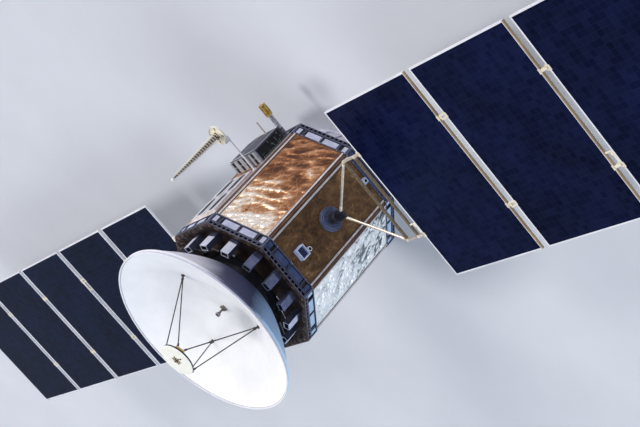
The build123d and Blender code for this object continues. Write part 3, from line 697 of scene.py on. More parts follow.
def yoke_finish():
    """Pale tube with a warm brushed finish; the bars that run across are tan."""
    tube = Finish("yoke tube", metal=0.6)
    streaks = tube.noise(tube.mapped(), 30.0, 4.0, 0.7)
    pale = tube.stops(streaks, 0.35, 0.65, (206, 190, 172), (240, 230, 216))
    tan = tube.stops(streaks, 0.35, 0.65, (120, 104, 84), (162, 144, 118))
    bar_x, bar_y = yoke_corner - 0.026, hinge_y - 0.026
    outer = tube.span(tube.away("X"), bar_x - 0.012, bar_x)
    middle = tube.span(tube.away("Y"), bar_y, bar_y - 0.010)
    tube.colour(tube.blend(tube.times(outer, middle), pale, tan))
    tube.rough(streaks, 0.26, 0.42)
    tube.relief(streaks, 0.0004, 0.6)
    return tube.material


def panel_sandwich():
    """The panel behind the cells: a pale edge, with tan walls and outer edges on the right wing as painted
    shade of that pale edge, a dark lower part on that wing's innermost wall, gold hinges and a dark woven
    back.
    """
    board = Finish("panel sandwich", metal=0.1)
    weave = board.noise(board.mapped(), 120.0, 2.0, 0.6)
    slow = board.noise(board.mapped(), 3.0, 4.0)
    tan, pale, back, gold = [board.stops(slow, 0.3, 0.7, dark, light) for dark, light in (
        ((150, 128, 98), (196, 172, 136)), ((216, 216, 226), (242, 242, 248)),
        ((42, 44, 54), (66, 68, 80)), ((214, 202, 172), (244, 238, 220)))]
    height = board.axis("Z")
    face = board.span(height, panel_top - 0.0004, panel_top - 0.0001)
    under = board.span(height, panel_top - 0.0396, panel_top - 0.0399)
    # Painted shade: the right wing's walls and outer edges are tan where the left wing's are pale
    right_wing = board.span(board.axis("X"), 0.0, 0.1)
    ends = board.span(board.away("Y"), panel_half, panel_half - 0.001)
    shaded_walls = board.times(right_wing, ends)
    run = board.over(board.minus(board.away("X"), first_edge), panel_pitch)
    along = board.maths("FRACT", run)
    outer_end = panel_wide - 0.015
    shaded_outer_edge = board.times(right_wing, board.span(along, (outer_end - 0.001) / panel_pitch,
                                                    (outer_end + 0.001) / panel_pitch))
    body = board.blend(under, board.blend(face, board.blend(shaded_walls, pale, tan),
                                          board.blend(shaded_outer_edge, pale, tan)), back)
    gap = board.span(along, (panel_wide + 0.0002) / panel_pitch, (panel_wide + 0.0006) / panel_pitch)
    inner_wall = board.times(right_wing, board.span(run, 0.0006, 0.0002))
    inner_wall = board.times(inner_wall, board.span(height, panel_top - 0.011, panel_top - 0.013))
    body = board.blend(inner_wall, body, (30, 34, 50))
    board.colour(board.blend(gap, body, gold))
    board.rough(weave, 0.4, 0.56)
    board.relief(weave, 0.0005, 0.7)
    return board.material


def cell_glass():
    """Solar cells under cover glass: a faint grid, each cell a shade of its own, and a painted reflection
    that makes the right wing bluer than the left.
    """
    glass = Finish("solar cells", gloss=0.11)
    grid = glass.mapped((11.26, 11.0, 1.0), (0, 0, 0), (0.0, 0.5, 0.0))
    cells = glass.cracks(grid, 1.0, "F1", "CHEBYCHEV", 0.0)
    shade = glass.node("ShaderNodeSeparateColor", {"Color": cells["Color"]})
    slow = glass.noise(glass.mapped(), 1.1, 3.0)
    # Painted reflection: the right wing's cells bluer, the left's greyer
    right = glass.stops(slow, 0.3, 0.7, (3, 6, 28), (8, 15, 50))
    left = glass.stops(slow, 0.3, 0.7, (7, 12, 28), (12, 21, 44))
    deep = glass.blend(glass.span(glass.axis("X"), -1.0, 1.0), left, right)
    lift = glass.stops(shade.outputs["Red"], 0.0, 1.0, (0, 0, 0), (12, 17, 34))
    line = glass.span(cells["Distance"], 0.462, 0.488, 0.0, 0.4)
    body = glass.blend(0.8, deep, lift, "ADD")
    glass.colour(glass.blend(line, body, (30, 41, 76)))
    glass.rough(slow, 0.16, 0.26)
    glass.relief(line, 0.0006, 0.5)
    return glass.material


def nozzle_metal():
    """Heat-stained bell: darker and bluer towards the throat."""
    bell = Finish("nozzle metal", metal=1.0)
    streaks = bell.noise(bell.mapped((6, 6, 0.3)), 14.0, 4.0, 0.7)
    cool = bell.stops(streaks, 0.3, 0.7, (86, 84, 84), (132, 128, 124))
    warm = bell.stops(streaks, 0.3, 0.7, (58, 48, 70), (112, 84, 66))
    bell.colour(bell.blend(bell.span(bell.axis("Z"), 0.12, 0.36), cool, warm))
    bell.rough(streaks, 0.24, 0.42)
    bell.relief(streaks, 0.0006, 0.6)
    return bell.material


ring_coat = ring_finish()
pocket_coat = pocket_finish()
rim_coat = rim_finish()
nozzle_coat = nozzle_metal()
yoke_coat = yoke_finish()
panel_coat = panel_sandwich()
cell_coat = cell_glass()
finish_of = {
    "adapter_skirt": adapter_coat, "main_thruster": nozzle_coat, "bus_core": deck_film,
    "rear_deck": deck_film, "front_deck": deck_film, "front_ring": ring_coat, "rear_ring": ring_coat,
    "corner_rails": rail_pale, "corner_strips": strip_film, "blankets_copper": copper_film,
    "blankets_gold": gold_film, "blankets_silver": silver_film, "feed_horns": horn_finish(),
    "deck_collar": deck_film, "dish_neck": black_coat, "dish_backshell": back_finish(),
    "dish_reflector": dish_coat, "dish_rim": rim_coat, "dish_feed": feed_coat, "subreflector": face_coat,
    "subreflector_back": black_coat, "strut_brackets": gold_fit, "strut_pairs": rod_coat,
    "electronics_unit": unit_finish(), "electronics_board": liner_black, "electronics_modules": module_coat,
    "slotted_frame": cover_coat, "helix_mast": white_coat, "helix_disc": cream_coat,
    "helix_core": tip_finish(), "helix_rings": winding_coat, "barrel_antenna": barrel_finish(),
    "whip_antenna": fin_coat, "side_sensors": sensor_coat, }
for side in ("right", "left"):
    finish_of[side + "_drive_base"] = drive_coat
    finish_of[side + "_hub"] = hub_coat
    finish_of[side + "_yoke"] = yoke_coat
    for n in range(1, 6):
        finish_of["%s_panel_%d" % (side, n)] = panel_coat
        finish_of["%s_cells_%d" % (side, n)] = cell_coat
for name, material in finish_of.items():
    nodes[name].data.materials.clear()
    nodes[name].data.materials.append(material)


# Insulation foil on the eight sides
def wrinkle(piece, texture, depth, size, stretch, turn, group, shift=(0, 0, 0), way="Z"):
    """Pushes the foil out by a procedural texture that a helper stretches, turns and shifts."""
    helper = bpy.data.objects.new("foil helper", None)
    bpy.context.scene.collection.objects.link(helper)
    helper.scale = (size * stretch[0], size * stretch[1], size)
    helper.rotation_euler = (0, 0, turn)
    helper.location = shift
    bpy.context.view_layer.update()
    push = piece.modifiers.new("wrinkle", "DISPLACE")
    push.texture = texture
    push.texture_coords = "OBJECT"
    push.texture_coords_object = helper
    push.strength = depth
    push.mid_level = 0.5
    push.direction = way
    push.vertex_group = group
    apply_all(piece)
    bpy.data.objects.remove(helper)


def pattern(name, kind, **settings):
    """A procedural texture that pushes the film's points."""
    texture = bpy.data.textures.new(name, kind)
    for key, value in settings.items():
        setattr(texture, key, value)
    return texture


soft_swell = pattern("soft swell", "CLOUDS", noise_scale=1.0, noise_depth=2)
sharp_fold = pattern("sharp fold", "MUSGRAVE", musgrave_type="RIDGED_MULTIFRACTAL", noise_scale=1.0,
                     octaves=3, lacunarity=2.1, dimension_max=0.9)
crumple = pattern("crumple", "VORONOI", distance_metric="DISTANCE", weight_1=-1.0, weight_2=1.0,
                  noise_scale=1.0, noise_intensity=1.0)


def remember_folds(piece, lowest, highest):
    """Eases the film in between its core and a loose limit, and keeps its height for the colour's painted
    shade and highlight.
    """
    fold = piece.data.attributes.new("fold", "FLOAT", "POINT")
    for corner in piece.data.vertices:
        room = highest if corner.co.z > 0 else -lowest
        corner.co.z = room * math.tanh(corner.co.z / room)
        fold.data[corner.index].value = corner.co.z


# Footprints on the sides that the foil lies flat under: along the edge and up the body
def wing_feet(hand):
    """The drive and the three sensors."""
    lens = lens_along * hand
    return [(-0.21, 0.21, wing_z - 0.21, wing_z + 0.21), (-0.11, 0.11, sensor_z - 0.1, sensor_z + 0.1),
            (lens - 0.05, lens + 0.05, lens_z - 0.056, lens_z + 0.054),
            (-0.06, 0.06, small_sensor_z - 0.065, small_sensor_z + 0.065)]


# The electronics unit, the slotted cover, the long antenna's mast and the barrel antenna
unit_feet = [(-unit_high.x - 0.02, -unit_low.x + 0.02, unit_low.z - 0.02, unit_high.z + 0.05),
             (-slotted_high.x - 0.02, -slotted_low.x + 0.02, slotted_low.z - 0.02, slotted_high.z + 0.02),
             (-0.43, -0.31, 1.49, 1.61), (-0.43, -0.33, 0.62, 0.74)]


def foil_sheet(k, feet, layers, limits):
    """One side's foil, a little loose between its taped edges and flat under what stands on it."""
    high, taper = foil_high_z - foil_low_z, 0.04
    piece = start("foil_side_%d" % k, bpy.ops.mesh.primitive_grid_add, x_subdivisions=88,
                  y_subdivisions=208, size=1)
    widen((2 * foil_wide, high, 1))
    bpy.ops.object.mode_set(mode="OBJECT")
    group = piece.vertex_groups.new(name="loose")
    middle = (foil_low_z + foil_high_z) / 2
    ease = []
    for corner in piece.data.vertices:
        along, up = corner.co.x, corner.co.y + middle
        near = min(foil_wide - abs(along), up - foil_low_z, foil_high_z - up)
        loose = min(1.0, max(0.0, (near - 0.003) / taper))
        for left, right, bottom, top in feet:
            gap = max(left - along, along - right, bottom - up, up - top)
            loose = min(loose, max(0.0, min(1.0, gap / taper)))
        ease.append(loose * loose * (3 - 2 * loose))
        group.add([corner.index], ease[-1], "REPLACE")
    for n, (texture, depth, size, stretch, turn) in enumerate(layers):
        wrinkle(piece, texture, depth, size, stretch, turn, "loose", (1.7 * k + 0.4 * n, 2.3 * k, 0.9 * k))
    piece.vertex_groups.clear()
    lift = sum(corner.co.z for corner in piece.data.vertices) / sum(ease)
    for corner, share in zip(piece.data.vertices, ease):
        corner.co.z -= lift * share
    remember_folds(piece, *limits)
    only(piece)
    bpy.ops.object.mode_set(mode="EDIT")
    bpy.ops.mesh.select_mode(type="EDGE")
    bpy.ops.mesh.select_all(action="DESELECT")
    bpy.ops.mesh.select_non_manifold()
    raise_up((0, 0, -0.0119))
    bpy.ops.object.mode_set(mode="OBJECT")
    smooth(piece, 60)
    return settle(piece, on_side(k, 0, middle, foil_half))


# Each layer: texture, depth, size, stretch across and along the folds, and the folds' lean in radians
copper_layers = [(soft_swell, 0.026, 0.38, (1.0, 1.7), -0.9), (sharp_fold, 0.011, 0.18, (1.0, 2.6), -1.15),
                 (sharp_fold, 0.008, 0.080, (1.0, 2.6), -0.75), (crumple, 0.005, 0.055, (1.0, 2.0), -0.9)]
gold_layers = [(soft_swell, 0.014, 0.34, (1.0, 1.6), 0.3), (sharp_fold, 0.005, 0.15, (1.0, 2.0), -0.5),
               (sharp_fold, 0.003, 0.06, (1.0, 1.6), 0.9)]
silver_layers = [(soft_swell, 0.024, 0.20, (1.0, 1.6), 0.9), (sharp_fold, -0.016, 0.13, (1.0, 1.7), 0.6),
                 (crumple, 0.014, 0.07, (1.0, 1.5), 0.6), (sharp_fold, -0.008, 0.06, (1.0, 1.5), 1.3)]

# What stands on each side: the drives and sensors on the wing sides, the equipment on the +Y side
feet_of = {0: wing_feet(1), 4: wing_feet(-1), 2: unit_feet}
for metal_name, sides, layers, proud, film in (("copper", (1, 2, 5, 6), copper_layers, 0.022, copper_film),
                                               ("gold", (0, 4), gold_layers, 0.014, gold_film),
                                               ("silver", (3, 7), silver_layers, 0.020, silver_film)):
    sheets = [foil_sheet(k, feet_of.get(k, []), layers, (-0.009, proud)) for k in sides]
    dress(gather(metal_name + "_foil_sheets", sheets), film,
          stands_for=("blankets_" + metal_name,))


def deck_skirt():
    """Crinkled film that slopes from the front ring's inner edge down to the deck, on eight sides."""
    eighth_slope = 0.4142136
    outer, edge, inner = body_half - 0.006, body_half - 0.062, body_half - 0.150
    top, foot = front_ring_high.z + 0.0025, deck_z + 0.004
    rows = 14
    piece = start("deck_skirt", bpy.ops.mesh.primitive_grid_add, x_subdivisions=90, y_subdivisions=rows,
                  size=1)
    for row in range(rows + 1):
        share = row / rows
        level = share - 0.5
        choose(piece, "VERT", lambda middle, facing: abs(middle.y - level) < 0.01 and abs(middle.z) < 1e-6)
        out = inner + (outer - inner) * share
        up = top if out > edge else foot + (top - foot) * ((out - inner) / (edge - inner)) ** 0.7
        widen((2 * out * eighth_slope, 1, 1))
        bpy.ops.transform.translate(value=(0, up - level, out))
    bpy.ops.object.mode_set(mode="OBJECT")
    group = piece.vertex_groups.new(name="loose")
    for corner in piece.data.vertices:
        share = (corner.co.z - inner) / (outer - inner)
        end = (corner.co.z * eighth_slope - abs(corner.co.x)) / 0.03
        loose = max(0.0, min(1.0, share * 5, (1 - share) * 5, end))
        group.add([corner.index], loose, "REPLACE")
    rest = [corner.co.y for corner in piece.data.vertices]
    wrinkle(piece, soft_swell, 0.022, 0.06, (1.0, 1.6), 0.4, "loose", way="Y")
    wrinkle(piece, crumple, 0.010, 0.035, (1.0, 1.4), 0.1, "loose", way="Y")
    # The skirt's height drives its film's painted shade and highlight
    fold = piece.data.attributes.new("fold", "FLOAT", "POINT")
    for corner in piece.data.vertices:
        fold.data[corner.index].value = corner.co.y - rest[corner.index]
    piece.vertex_groups.clear()
    thick = piece.modifiers.new("thick", "SOLIDIFY")
    thick.thickness = 0.002
    apply_all(piece)
    smooth(piece, 60)
    piece = repeat(piece, [on_side(k, 0, 0, 0) for k in range(8)])
    dress(piece, skirt_film)


# End rings: pocket plates with painted light and shade, thin pale edges as painted highlights, rails and
# seams
ring_ends = ((front_ring_low.z, front_ring_high.z, 1), (rear_ring_high.z, rear_ring_low.z, -1))
pocket_middle, pocket_high, fence_step = 0.089, 0.134, 0.079


def ring_places(alongs, offset, out, from_slots=False):
    """Places on all eight sides of both rings, at a distance in from the outer or the inner edge."""
    places = []
    for inner_z, outer_z, toward in ring_ends:
        up = outer_z - toward * offset if from_slots else inner_z + toward * offset
        places += [on_side(k, along, up, out) for k in range(8) for along in alongs]
    return places


def ring_trims():
    """Plates in the pockets, coloured with painted light and shade, with pale frames and lines along the
    rings' edges and webs as painted highlights, and screws.
    """
    plates, frames = [], []
    # The large and the small pockets: their own and their plate's width, then both their places
    for wide, plate_wide, alongs, plate_alongs in ((0.300, 0.262, (-0.162, 0.162), (-0.158, 0.158)),
                                                   (0.138, 0.070, (-0.405, 0.405), (-0.426, 0.426))):
        plate = tray("pocket_plates", plate_wide, 0.112, 0.010, 0.006, 0.003)
        plates.append(repeat(plate, ring_places(plate_alongs, pocket_middle, body_half - 0.020)))
        # Pale frames round the pockets, a painted highlight on their edges
        frame_line = border("pocket_frames", wide + 0.007, pocket_high + 0.007, 0.0035, 0.0015)
        frames.append(repeat(frame_line, ring_places(alongs, pocket_middle, body_half)))
    dress(gather("pocket_plates", plates), pocket_coat)
    dress(gather("pocket_frames", frames), edge_highlight_coat)
    side, corner = 2 * edge_half - 0.004, edge_half - 0.005
    fences = [(n - 6) * fence_step for n in range(13)]
    lines = []
    # Each line: its size, its easing, its places along a side, its distance in, and from which edge
    for name, size, ease, alongs, offset, from_slots in (
            ("ring_edge_lines", (side, 0.008, 0.0025), 0.0008, (0,), 0.0060, True),
            ("ring_web_lines", (side, 0.005, 0.0025), 0.0008, (0,), 0.0645, True),
            ("ring_inner_lines", (side, 0.006, 0.0025), 0.0008, (0,), 0.0050, False),
            ("slot_fences", (0.007, 0.040, 0.002), 0.0006, fences, 0.033, True),
            ("ring_corner_lines", (0.008, 0.234, 0.002), 0.0006, (-corner, corner), 0.119, True)):
        lines.append(repeat(block(name, size, ease), ring_places(alongs, offset, body_half, from_slots)))
    dress(gather("ring_lines", lines), edge_highlight_coat)
    places = ring_places((-0.474, -0.324, -0.012, 0.012, 0.324, 0.474), 0.011, body_half)
    dress(repeat(screw("ring_screws", 0.0055, 0.003), places), trim_pale)


def body_seams():
    """Dark joints beside the rails, and the rails' screws."""
    high = core_high.z - core_low.z
    middle = (core_high.z + core_low.z) / 2
    seam = block("body_seams", (0.008, high - 0.004, 0.003), 0.0008)
    edges = [(k, hand) for k in range(8) for hand in (-1, 1)]
    strip_joint, foil_joint = 0.4695, 0.4225
    places = [on_side(k, hand * strip_joint, middle, core_half + 0.006) for k, hand in edges]
    places += [on_side(k, hand * foil_joint, middle, foil_half) for k, hand in edges]
    dress(repeat(seam, places), seam_coat)
    first_screw, screw_step = core_low.z + 0.1, 0.2014
    places = [on_side(k, hand * rail_place, first_screw + screw_step * n, rail_face)
              for k, hand in edges for n in range(10)]
    dress(repeat(screw("rail_screws", 0.0060, 0.004), places), bronze_fit)


# Front deck: horn throats and ties
def horn_fittings():
    """A black throat liner in each horn's mouth as painted shade, and the tie and clip that brace the horn.
    """
    mouth_wide, mouth_high, throat_deep = 0.074, 0.112, 0.062
    # Painted shade: a black liner inside each horn's mouth
    throat = start("horn_throats", bpy.ops.mesh.primitive_plane_add, size=1)
    widen((mouth_wide, mouth_high, 1))
    raise_up((0, 0, -throat_deep))
    widen((0.45, 0.5, 1), (0, 0, -throat_deep))
    choose(throat, "FACE", lambda middle, facing: middle.z > -0.001)
    bpy.ops.mesh.delete(type="FACE")
    bpy.ops.mesh.select_all(action="SELECT")
    bpy.ops.mesh.normals_make_consistent(inside=True)
    bpy.ops.object.mode_set(mode="OBJECT")
    thick = throat.modifiers.new("thick", "SOLIDIFY")
    thick.thickness = 0.0015
    thick.offset = -1
    apply_all(throat)
    turns = [spun(22.5 * n) for n in range(16)]
    mouth = moved(horn_circle, 0, horn_high.z - 0.003)
    dress(repeat(throat, [turn @ mouth for turn in turns]), liner_black)
    foot, head = Vector((collar_high.x - 0.012, 0, collar_high.z - 0.002)), Vector((tie_end, 0, clip_z))
    length = (head - foot).length
    tie = turned("horn_ties", [(0.012, 0), (0.012, 0.008), (0.0055, 0.012), (0.0055, length - 0.012),
                               (0.011, length - 0.008), (0.011, length)], 10)
    dress(repeat(tie, [turn @ between(foot, head) for turn in turns]), trim_pale)
    clip = block("horn_clips", (0.006, 0.050, 0.030))
    seat = moved(horn_circle - 0.052, 0, clip_z)
    dress(repeat(clip, [turn @ seat for turn in turns]), trim_pale)


# Dish: rim line, feed mouth, rod collars, subreflector fittings
def bead(name, radius, wire, flat, corners, place, finish):
    """A thin ring put straight into its place."""
    dress(settle(hoop(name, radius, wire, flat, corners), moved(*place)), finish)


def dish_fittings():
    """The dish's rim line and bead, the feed's mouth and screws, and the rods' collars and screws."""
    bead("dish_rim_line", reflector_high.x - 0.004, 0.0030, 0.5, 128, (0, 0, reflector_high.z - 0.003),
         rod_coat)
    bead("dish_rim_bead", rim_high.x - 0.004, 0.004, 1.0, 128, (0, 0, rim_high.z - 0.001), white_coat)
    bead("feed_mouth_ring", 0.0375, 0.0035, 1.0, 32, (0, 0, feed_high.z), trim_pale)
    spots = [moved(0.037 * a, 0.037 * b, feed_low.z + 0.022) for a in (-1, 1) for b in (-1, 1)]
    dress(repeat(screw("feed_screws", 0.005, 0.004), spots), gold_fit)
    foot_z = reflector_vertex + dish_depth * (rod_foot / dish_radius) ** 2
    collar = turned("rod_collars", [(0.010, 0), (0.016, 0.003), (0.016, 0.040), (0.010, 0.043)], 14)
    legs = [spun(90 + 120 * n) for n in range(3)]
    places = []
    for leg in legs:
        for hand in (-1, 1):
            turn = math.radians(60 * hand)
            foot = Vector((rod_foot, 0, foot_z + 0.008))
            head = Vector((rod_head * math.cos(turn) + rod_gap * hand * math.sin(turn),
                           rod_head * math.sin(turn) - rod_gap * hand * math.cos(turn), sub_high.z - 0.046))
            run = (head - foot).normalized()
            places += [leg @ between(foot + run * 0.035, head), leg @ between(head - run * 0.075, head)]
    dress(repeat(collar, places), rod_coat)
    places = [leg @ moved(rod_foot, 0, foot_z + 0.016) @ spun(60 * n + 30) @ moved(0.019, 0, 0)
              for leg in legs for n in range(6)]
    dress(repeat(screw("rod_foot_screws", 0.0045, 0.004), places), bronze_fit)


def subreflector_fittings():
    """A bronze spider, a dark slot and an edge bead on the subreflector's face."""
    top = sub_high.z
    boss = turned("sub_boss", [(0.030, 0), (0.030, 0.005), (0.018, 0.008), (0.018, 0.011)], 20)
    pieces = [settle(boss, moved(0, 0, top))]
    arm = block("sub_arms", (0.060, 0.017, 0.004))
    pieces.append(repeat(arm, [spun(60 * n + 10) @ moved(0.056, 0, top + 0.002) for n in range(6)]))
    pieces.append(settle(hoop("sub_ring", 0.056, 0.006, 0.6, 36), moved(0, 0, top + 0.002)))
    dress(gather("subreflector_spider", pieces), bronze_fit)
    mark = block("sub_slot", (0.044, 0.022, 0.003))
    dress(settle(mark, moved(0.114, 0, top + 0.0010)), liner_black)
    bead("sub_edge_bead", 0.2845, 0.0035, 1.0, 72, (0, 0, top - 0.007), white_coat)


# Equipment on the +Y side
def unit_fittings():
    """Strips and screws on the electronics unit's lid, and ticks and strips on its open board."""
    rim, outward = 0.009, (0, 1, 0)
    low_x, high_x, low_z, high_z = unit_low.x + rim, unit_high.x - rim, unit_low.z + rim, unit_high.z - rim
    # The lid's outline, with its lower corner cut off
    cut_x, cut_z = -0.210 + 0.4 * rim, 0.850 + 0.4 * rim
    corners = [(low_x, cut_z), (cut_x, low_z), (high_x, low_z), (high_x, high_z), (low_x, high_z)]
    strips = [lath("lid_strip", (x, lid_top, z), (next_x, lid_top, next_z), 0.011, 0.003, outward)
              for (x, z), (next_x, next_z) in zip(corners, corners[1:] + corners[:1])]
    seam_x = -0.10
    strips.append(lath("lid_seam", (seam_x, lid_top, low_z), (seam_x, lid_top, high_z), 0.006, 0.002,
                       outward))
    dress(gather("lid_strips", strips), white_coat)
    head = screw("lid_screws", 0.006, 0.004)
    # Along the lid's lower and upper edges, none at the cut corner, then up both ends
    spots = [(x, z) for x in (-0.30, -0.14, 0.04, 0.20, 0.36) for z in (0.760, 1.315)
             if not (x < -0.2 and z < 0.8)]
    spots += [(0.380, 0.93), (0.380, 1.13), (-0.315, 0.98), (-0.315, 1.15)]
    dress(repeat(head, [moved(x, lid_top, z) @ towards_y for x, z in spots]), trim_pale)
    board_x = unit_high.x - 0.002
    tick = block("board_ticks", (0.003, 0.009, 0.014), 0.0006)
    # Each row of ticks: its place across the board, its first tick, their count and step
    rows = ((1.226, 0.775, 13, 0.042), (1.262, 0.800, 5, 0.046), (1.296, 0.790, 3, 0.110),
            (1.334, 0.905, 3, 0.130), (1.368, 0.820, 2, 0.240))
    spots = [moved(board_x, y, z + step * n) for y, z, count, step in rows for n in range(count)]
    dress(repeat(tick, spots), mark_white)
    strips = [lath("board_strip", (board_x, y, z - length / 2), (board_x, y, z + length / 2), 0.007, 0.0025,
                   (1, 0, 0))
              for y, z, length in ((1.247, 0.860, 0.110), (1.284, 0.990, 0.090), (1.262, 1.110, 0.080),
                                   (1.316, 1.180, 0.060), (1.276, 1.260, 0.070))]
    dress(gather("board_strips", strips), mark_green)


def cover_places(spots, sink=0.0):
    """Places on the slotted cover's face, or sunk below it."""
    return [moved(x, slotted_high.y - sink, z) @ towards_y for x, z in spots]


def dark_floors():
    """Black floors and edges in the modules' slots and in the slotted cover's openings as painted shade,
    and the cover's trim.
    """
    module_columns, opening_columns = (-0.250, -0.090, 0.070, 0.3075), (-0.1525, 0.2025)
    row = (lid_top - 0.012 - side_face) / 2
    cells = [(x, side_face + row * (n + 0.5)) for x in module_columns for n in range(2)]
    # Painted shade: black fills and edges in the modules' slots
    fill = block("module_slot_fill", (0.0335, row - 0.0285, 0.022))
    pieces = [repeat(fill, [moved(x, y, module_high.z - 0.0140) for x, y in cells])]
    edge = border("module_slot_edges", 0.062, row - 0.014, 0.0145, 0.0015)
    pieces.append(repeat(edge, [moved(x, y, module_high.z) for x, y in cells]))
    middle_z, quarter = (slotted_low.z + slotted_high.z) / 2, (slotted_high.z - slotted_low.z) / 4
    slots = [(x, middle_z + hand * quarter) for x in opening_columns for hand in (-1, 1)]
    reach = 0.1275
    # Painted shade: black pits and surrounds in the cover's openings
    pit = stadium("cover_slot_fill", 0.0475, reach)
    raise_up((0, 0, 0.018))
    pieces.append(repeat(close(pit), cover_places(slots, 0.021)))
    surround = hollow(stadium("cover_slot_surrounds", 0.0800, reach), 0.032, 0.0015)
    pieces.append(repeat(surround, cover_places(slots)))
    dress(gather("slot_floors", pieces), liner_black)
    rim = hollow(stadium("cover_slot_rims", 0.0900, reach), 0.010, 0.003)
    dress(repeat(rim, cover_places(slots)), trim_pale)
    face = slotted_high.y
    seams = [lath("cover_seam", (x, face, z), (next_x, face, next_z), 0.006, 0.0015, (0, 1, 0))
             for x, z, next_x, next_z in ((slotted_low.x + 0.01, middle_z, slotted_high.x - 0.01, middle_z),
                                          (0.025, slotted_low.z + 0.01, 0.025, slotted_high.z - 0.01))]
    dress(gather("cover_seams", seams), seam_coat)
    head = screw("cover_screws", 0.006, 0.004)
    spots = [(x, z) for x in (-0.310, 0.010, 0.360) for z in (1.630, 2.065, 2.105, 2.540)]
    dress(repeat(head, cover_places(spots)), bronze_fit)


# The long antenna: its disc's bars, fins and winding
def helix_fittings():
    """Bars on both faces of the disc, a saddle below it, its bead, and the crossed fins that taper."""
    bar = block("helix_bars", (0.014, 0.086, 0.010))
    spots = [moved(helix_x, helix_y, disc_low.z + 0.039) @ spun(90 * n + 20) @ moved(0.045, 0, 0)
             for n in range(4)]
    foot_bar = block("helix_foot_bars", (0.060, 0.012, 0.008))
    feet = [moved(helix_x, helix_y, disc_low.z + 0.018) @ spun(90 * n + 65) @ moved(0.110, 0, 0)
            for n in range(4)]
    dress(gather("helix_bars", [repeat(bar, spots), repeat(foot_bar, feet)]), bronze_fit)
    saddle = turned("helix_saddle", [(0.060, 0), (0.060, 0.010), (0.034, 0.016), (0.034, 0.022)], 28)
    dress(settle(saddle, moved(helix_x, helix_y, disc_low.z) @ spun(180, "X")), bronze_fit)
    bead("helix_disc_bead", 0.163, 0.0035, 1.0, 64, (helix_x, helix_y, disc_low.z + 0.025), white_coat)
    foot, head = disc_low.z + 0.034, coil_high.z - 0.007
    fins = []
    for turn in (0, 90):
        fin = start("helix_fin", bpy.ops.mesh.primitive_cube_add, size=1)
        widen((0.084, 0.004, head - foot))
        choose(fin, "FACE", lambda middle, facing: facing.z > 0.9)
        widen((0.36, 1, 1))
        close(fin)
        fins.append(settle(fin, moved(helix_x, helix_y, (foot + head) / 2) @ spun(turn)))
    dress(gather("helix_fins", fins), fin_coat)


def winding():
    """The wire wound on the tapering former: one smooth line of turns, given its thickness as a tube."""
    turns, steps = 20, 18
    wire = 0.0055
    foot_z, head_z = disc_low.z + 0.064, disc_low.z + 1.055
    foot_radius, head_radius = 0.068, 0.026
    line = bpy.data.curves.new("helix_winding", "CURVE")
    line.dimensions = "3D"
    line.bevel_depth = wire
    line.bevel_resolution = 2
    run = line.splines.new("NURBS")
    run.points.add(turns * steps)
    for n in range(turns * steps + 1):
        share = n / (turns * steps)
        radius = foot_radius + (head_radius - foot_radius) * share
        angle = 2 * math.pi * turns * share
        run.points[n].co = (helix_x + radius * math.cos(angle), helix_y + radius * math.sin(angle),
                            foot_z + (head_z - foot_z) * share, 1)
    run.order_u = 3
    run.use_endpoint_u = True
    run.resolution_u = 2
    piece = bpy.data.objects.new("helix_winding", line)
    bpy.context.scene.collection.objects.link(piece)
    only(piece)
    bpy.ops.object.convert(target="MESH")
    piece = bpy.context.active_object
    smooth(piece, 60)
    dress(piece, winding_coat, stands_for=("helix_rings",))


# The barrel antenna, lying along Y
def barrel_fittings():
    """Its cap and gold bands, the dark slot in its head, lines on its stem and screws at its foot."""
    x, z = (barrel_low.x + barrel_high.x) / 2, (barrel_low.z + barrel_high.z) / 2
    neck = barrel_high.y - head_long

    def at(y):
        return moved(x, y, z) @ towards_y

    cap = turned("barrel_cap", [(0.052, 0), (0.052, 0.004), (0.040, 0.008), (0.040, 0.003)], 36)
    bands = [settle(hoop("barrel_band", 0.0585, 0.004, 0.9, 40), at(y))
             for y in (neck + 0.012, barrel_high.y - 0.006)]
    dress(gather("barrel_bands", [settle(cap, at(barrel_high.y))] + bands), gold_fit)
    slot_bar = block("barrel_slot", (0.012, 0.004, 0.120))
    place = at(neck + head_long / 2) @ spun(35) @ moved(0.0575, 0, 0)
    dress(settle(slot_bar, place), liner_black)
    rings = [settle(hoop("barrel_line", 0.0365, 0.003, 1.0, 32), at(barrel_low.y + y))
             for y in (0.060, 0.165)]
    dress(gather("barrel_lines", rings), liner_black)
    stud = screw("barrel_foot_screws", 0.004, 0.003)
    spots = [at(barrel_low.y + 0.020) @ spun(60 * n) @ moved(0.0385, 0, 0) for n in range(6)]
    dress(repeat(stud, spots), bronze_fit)


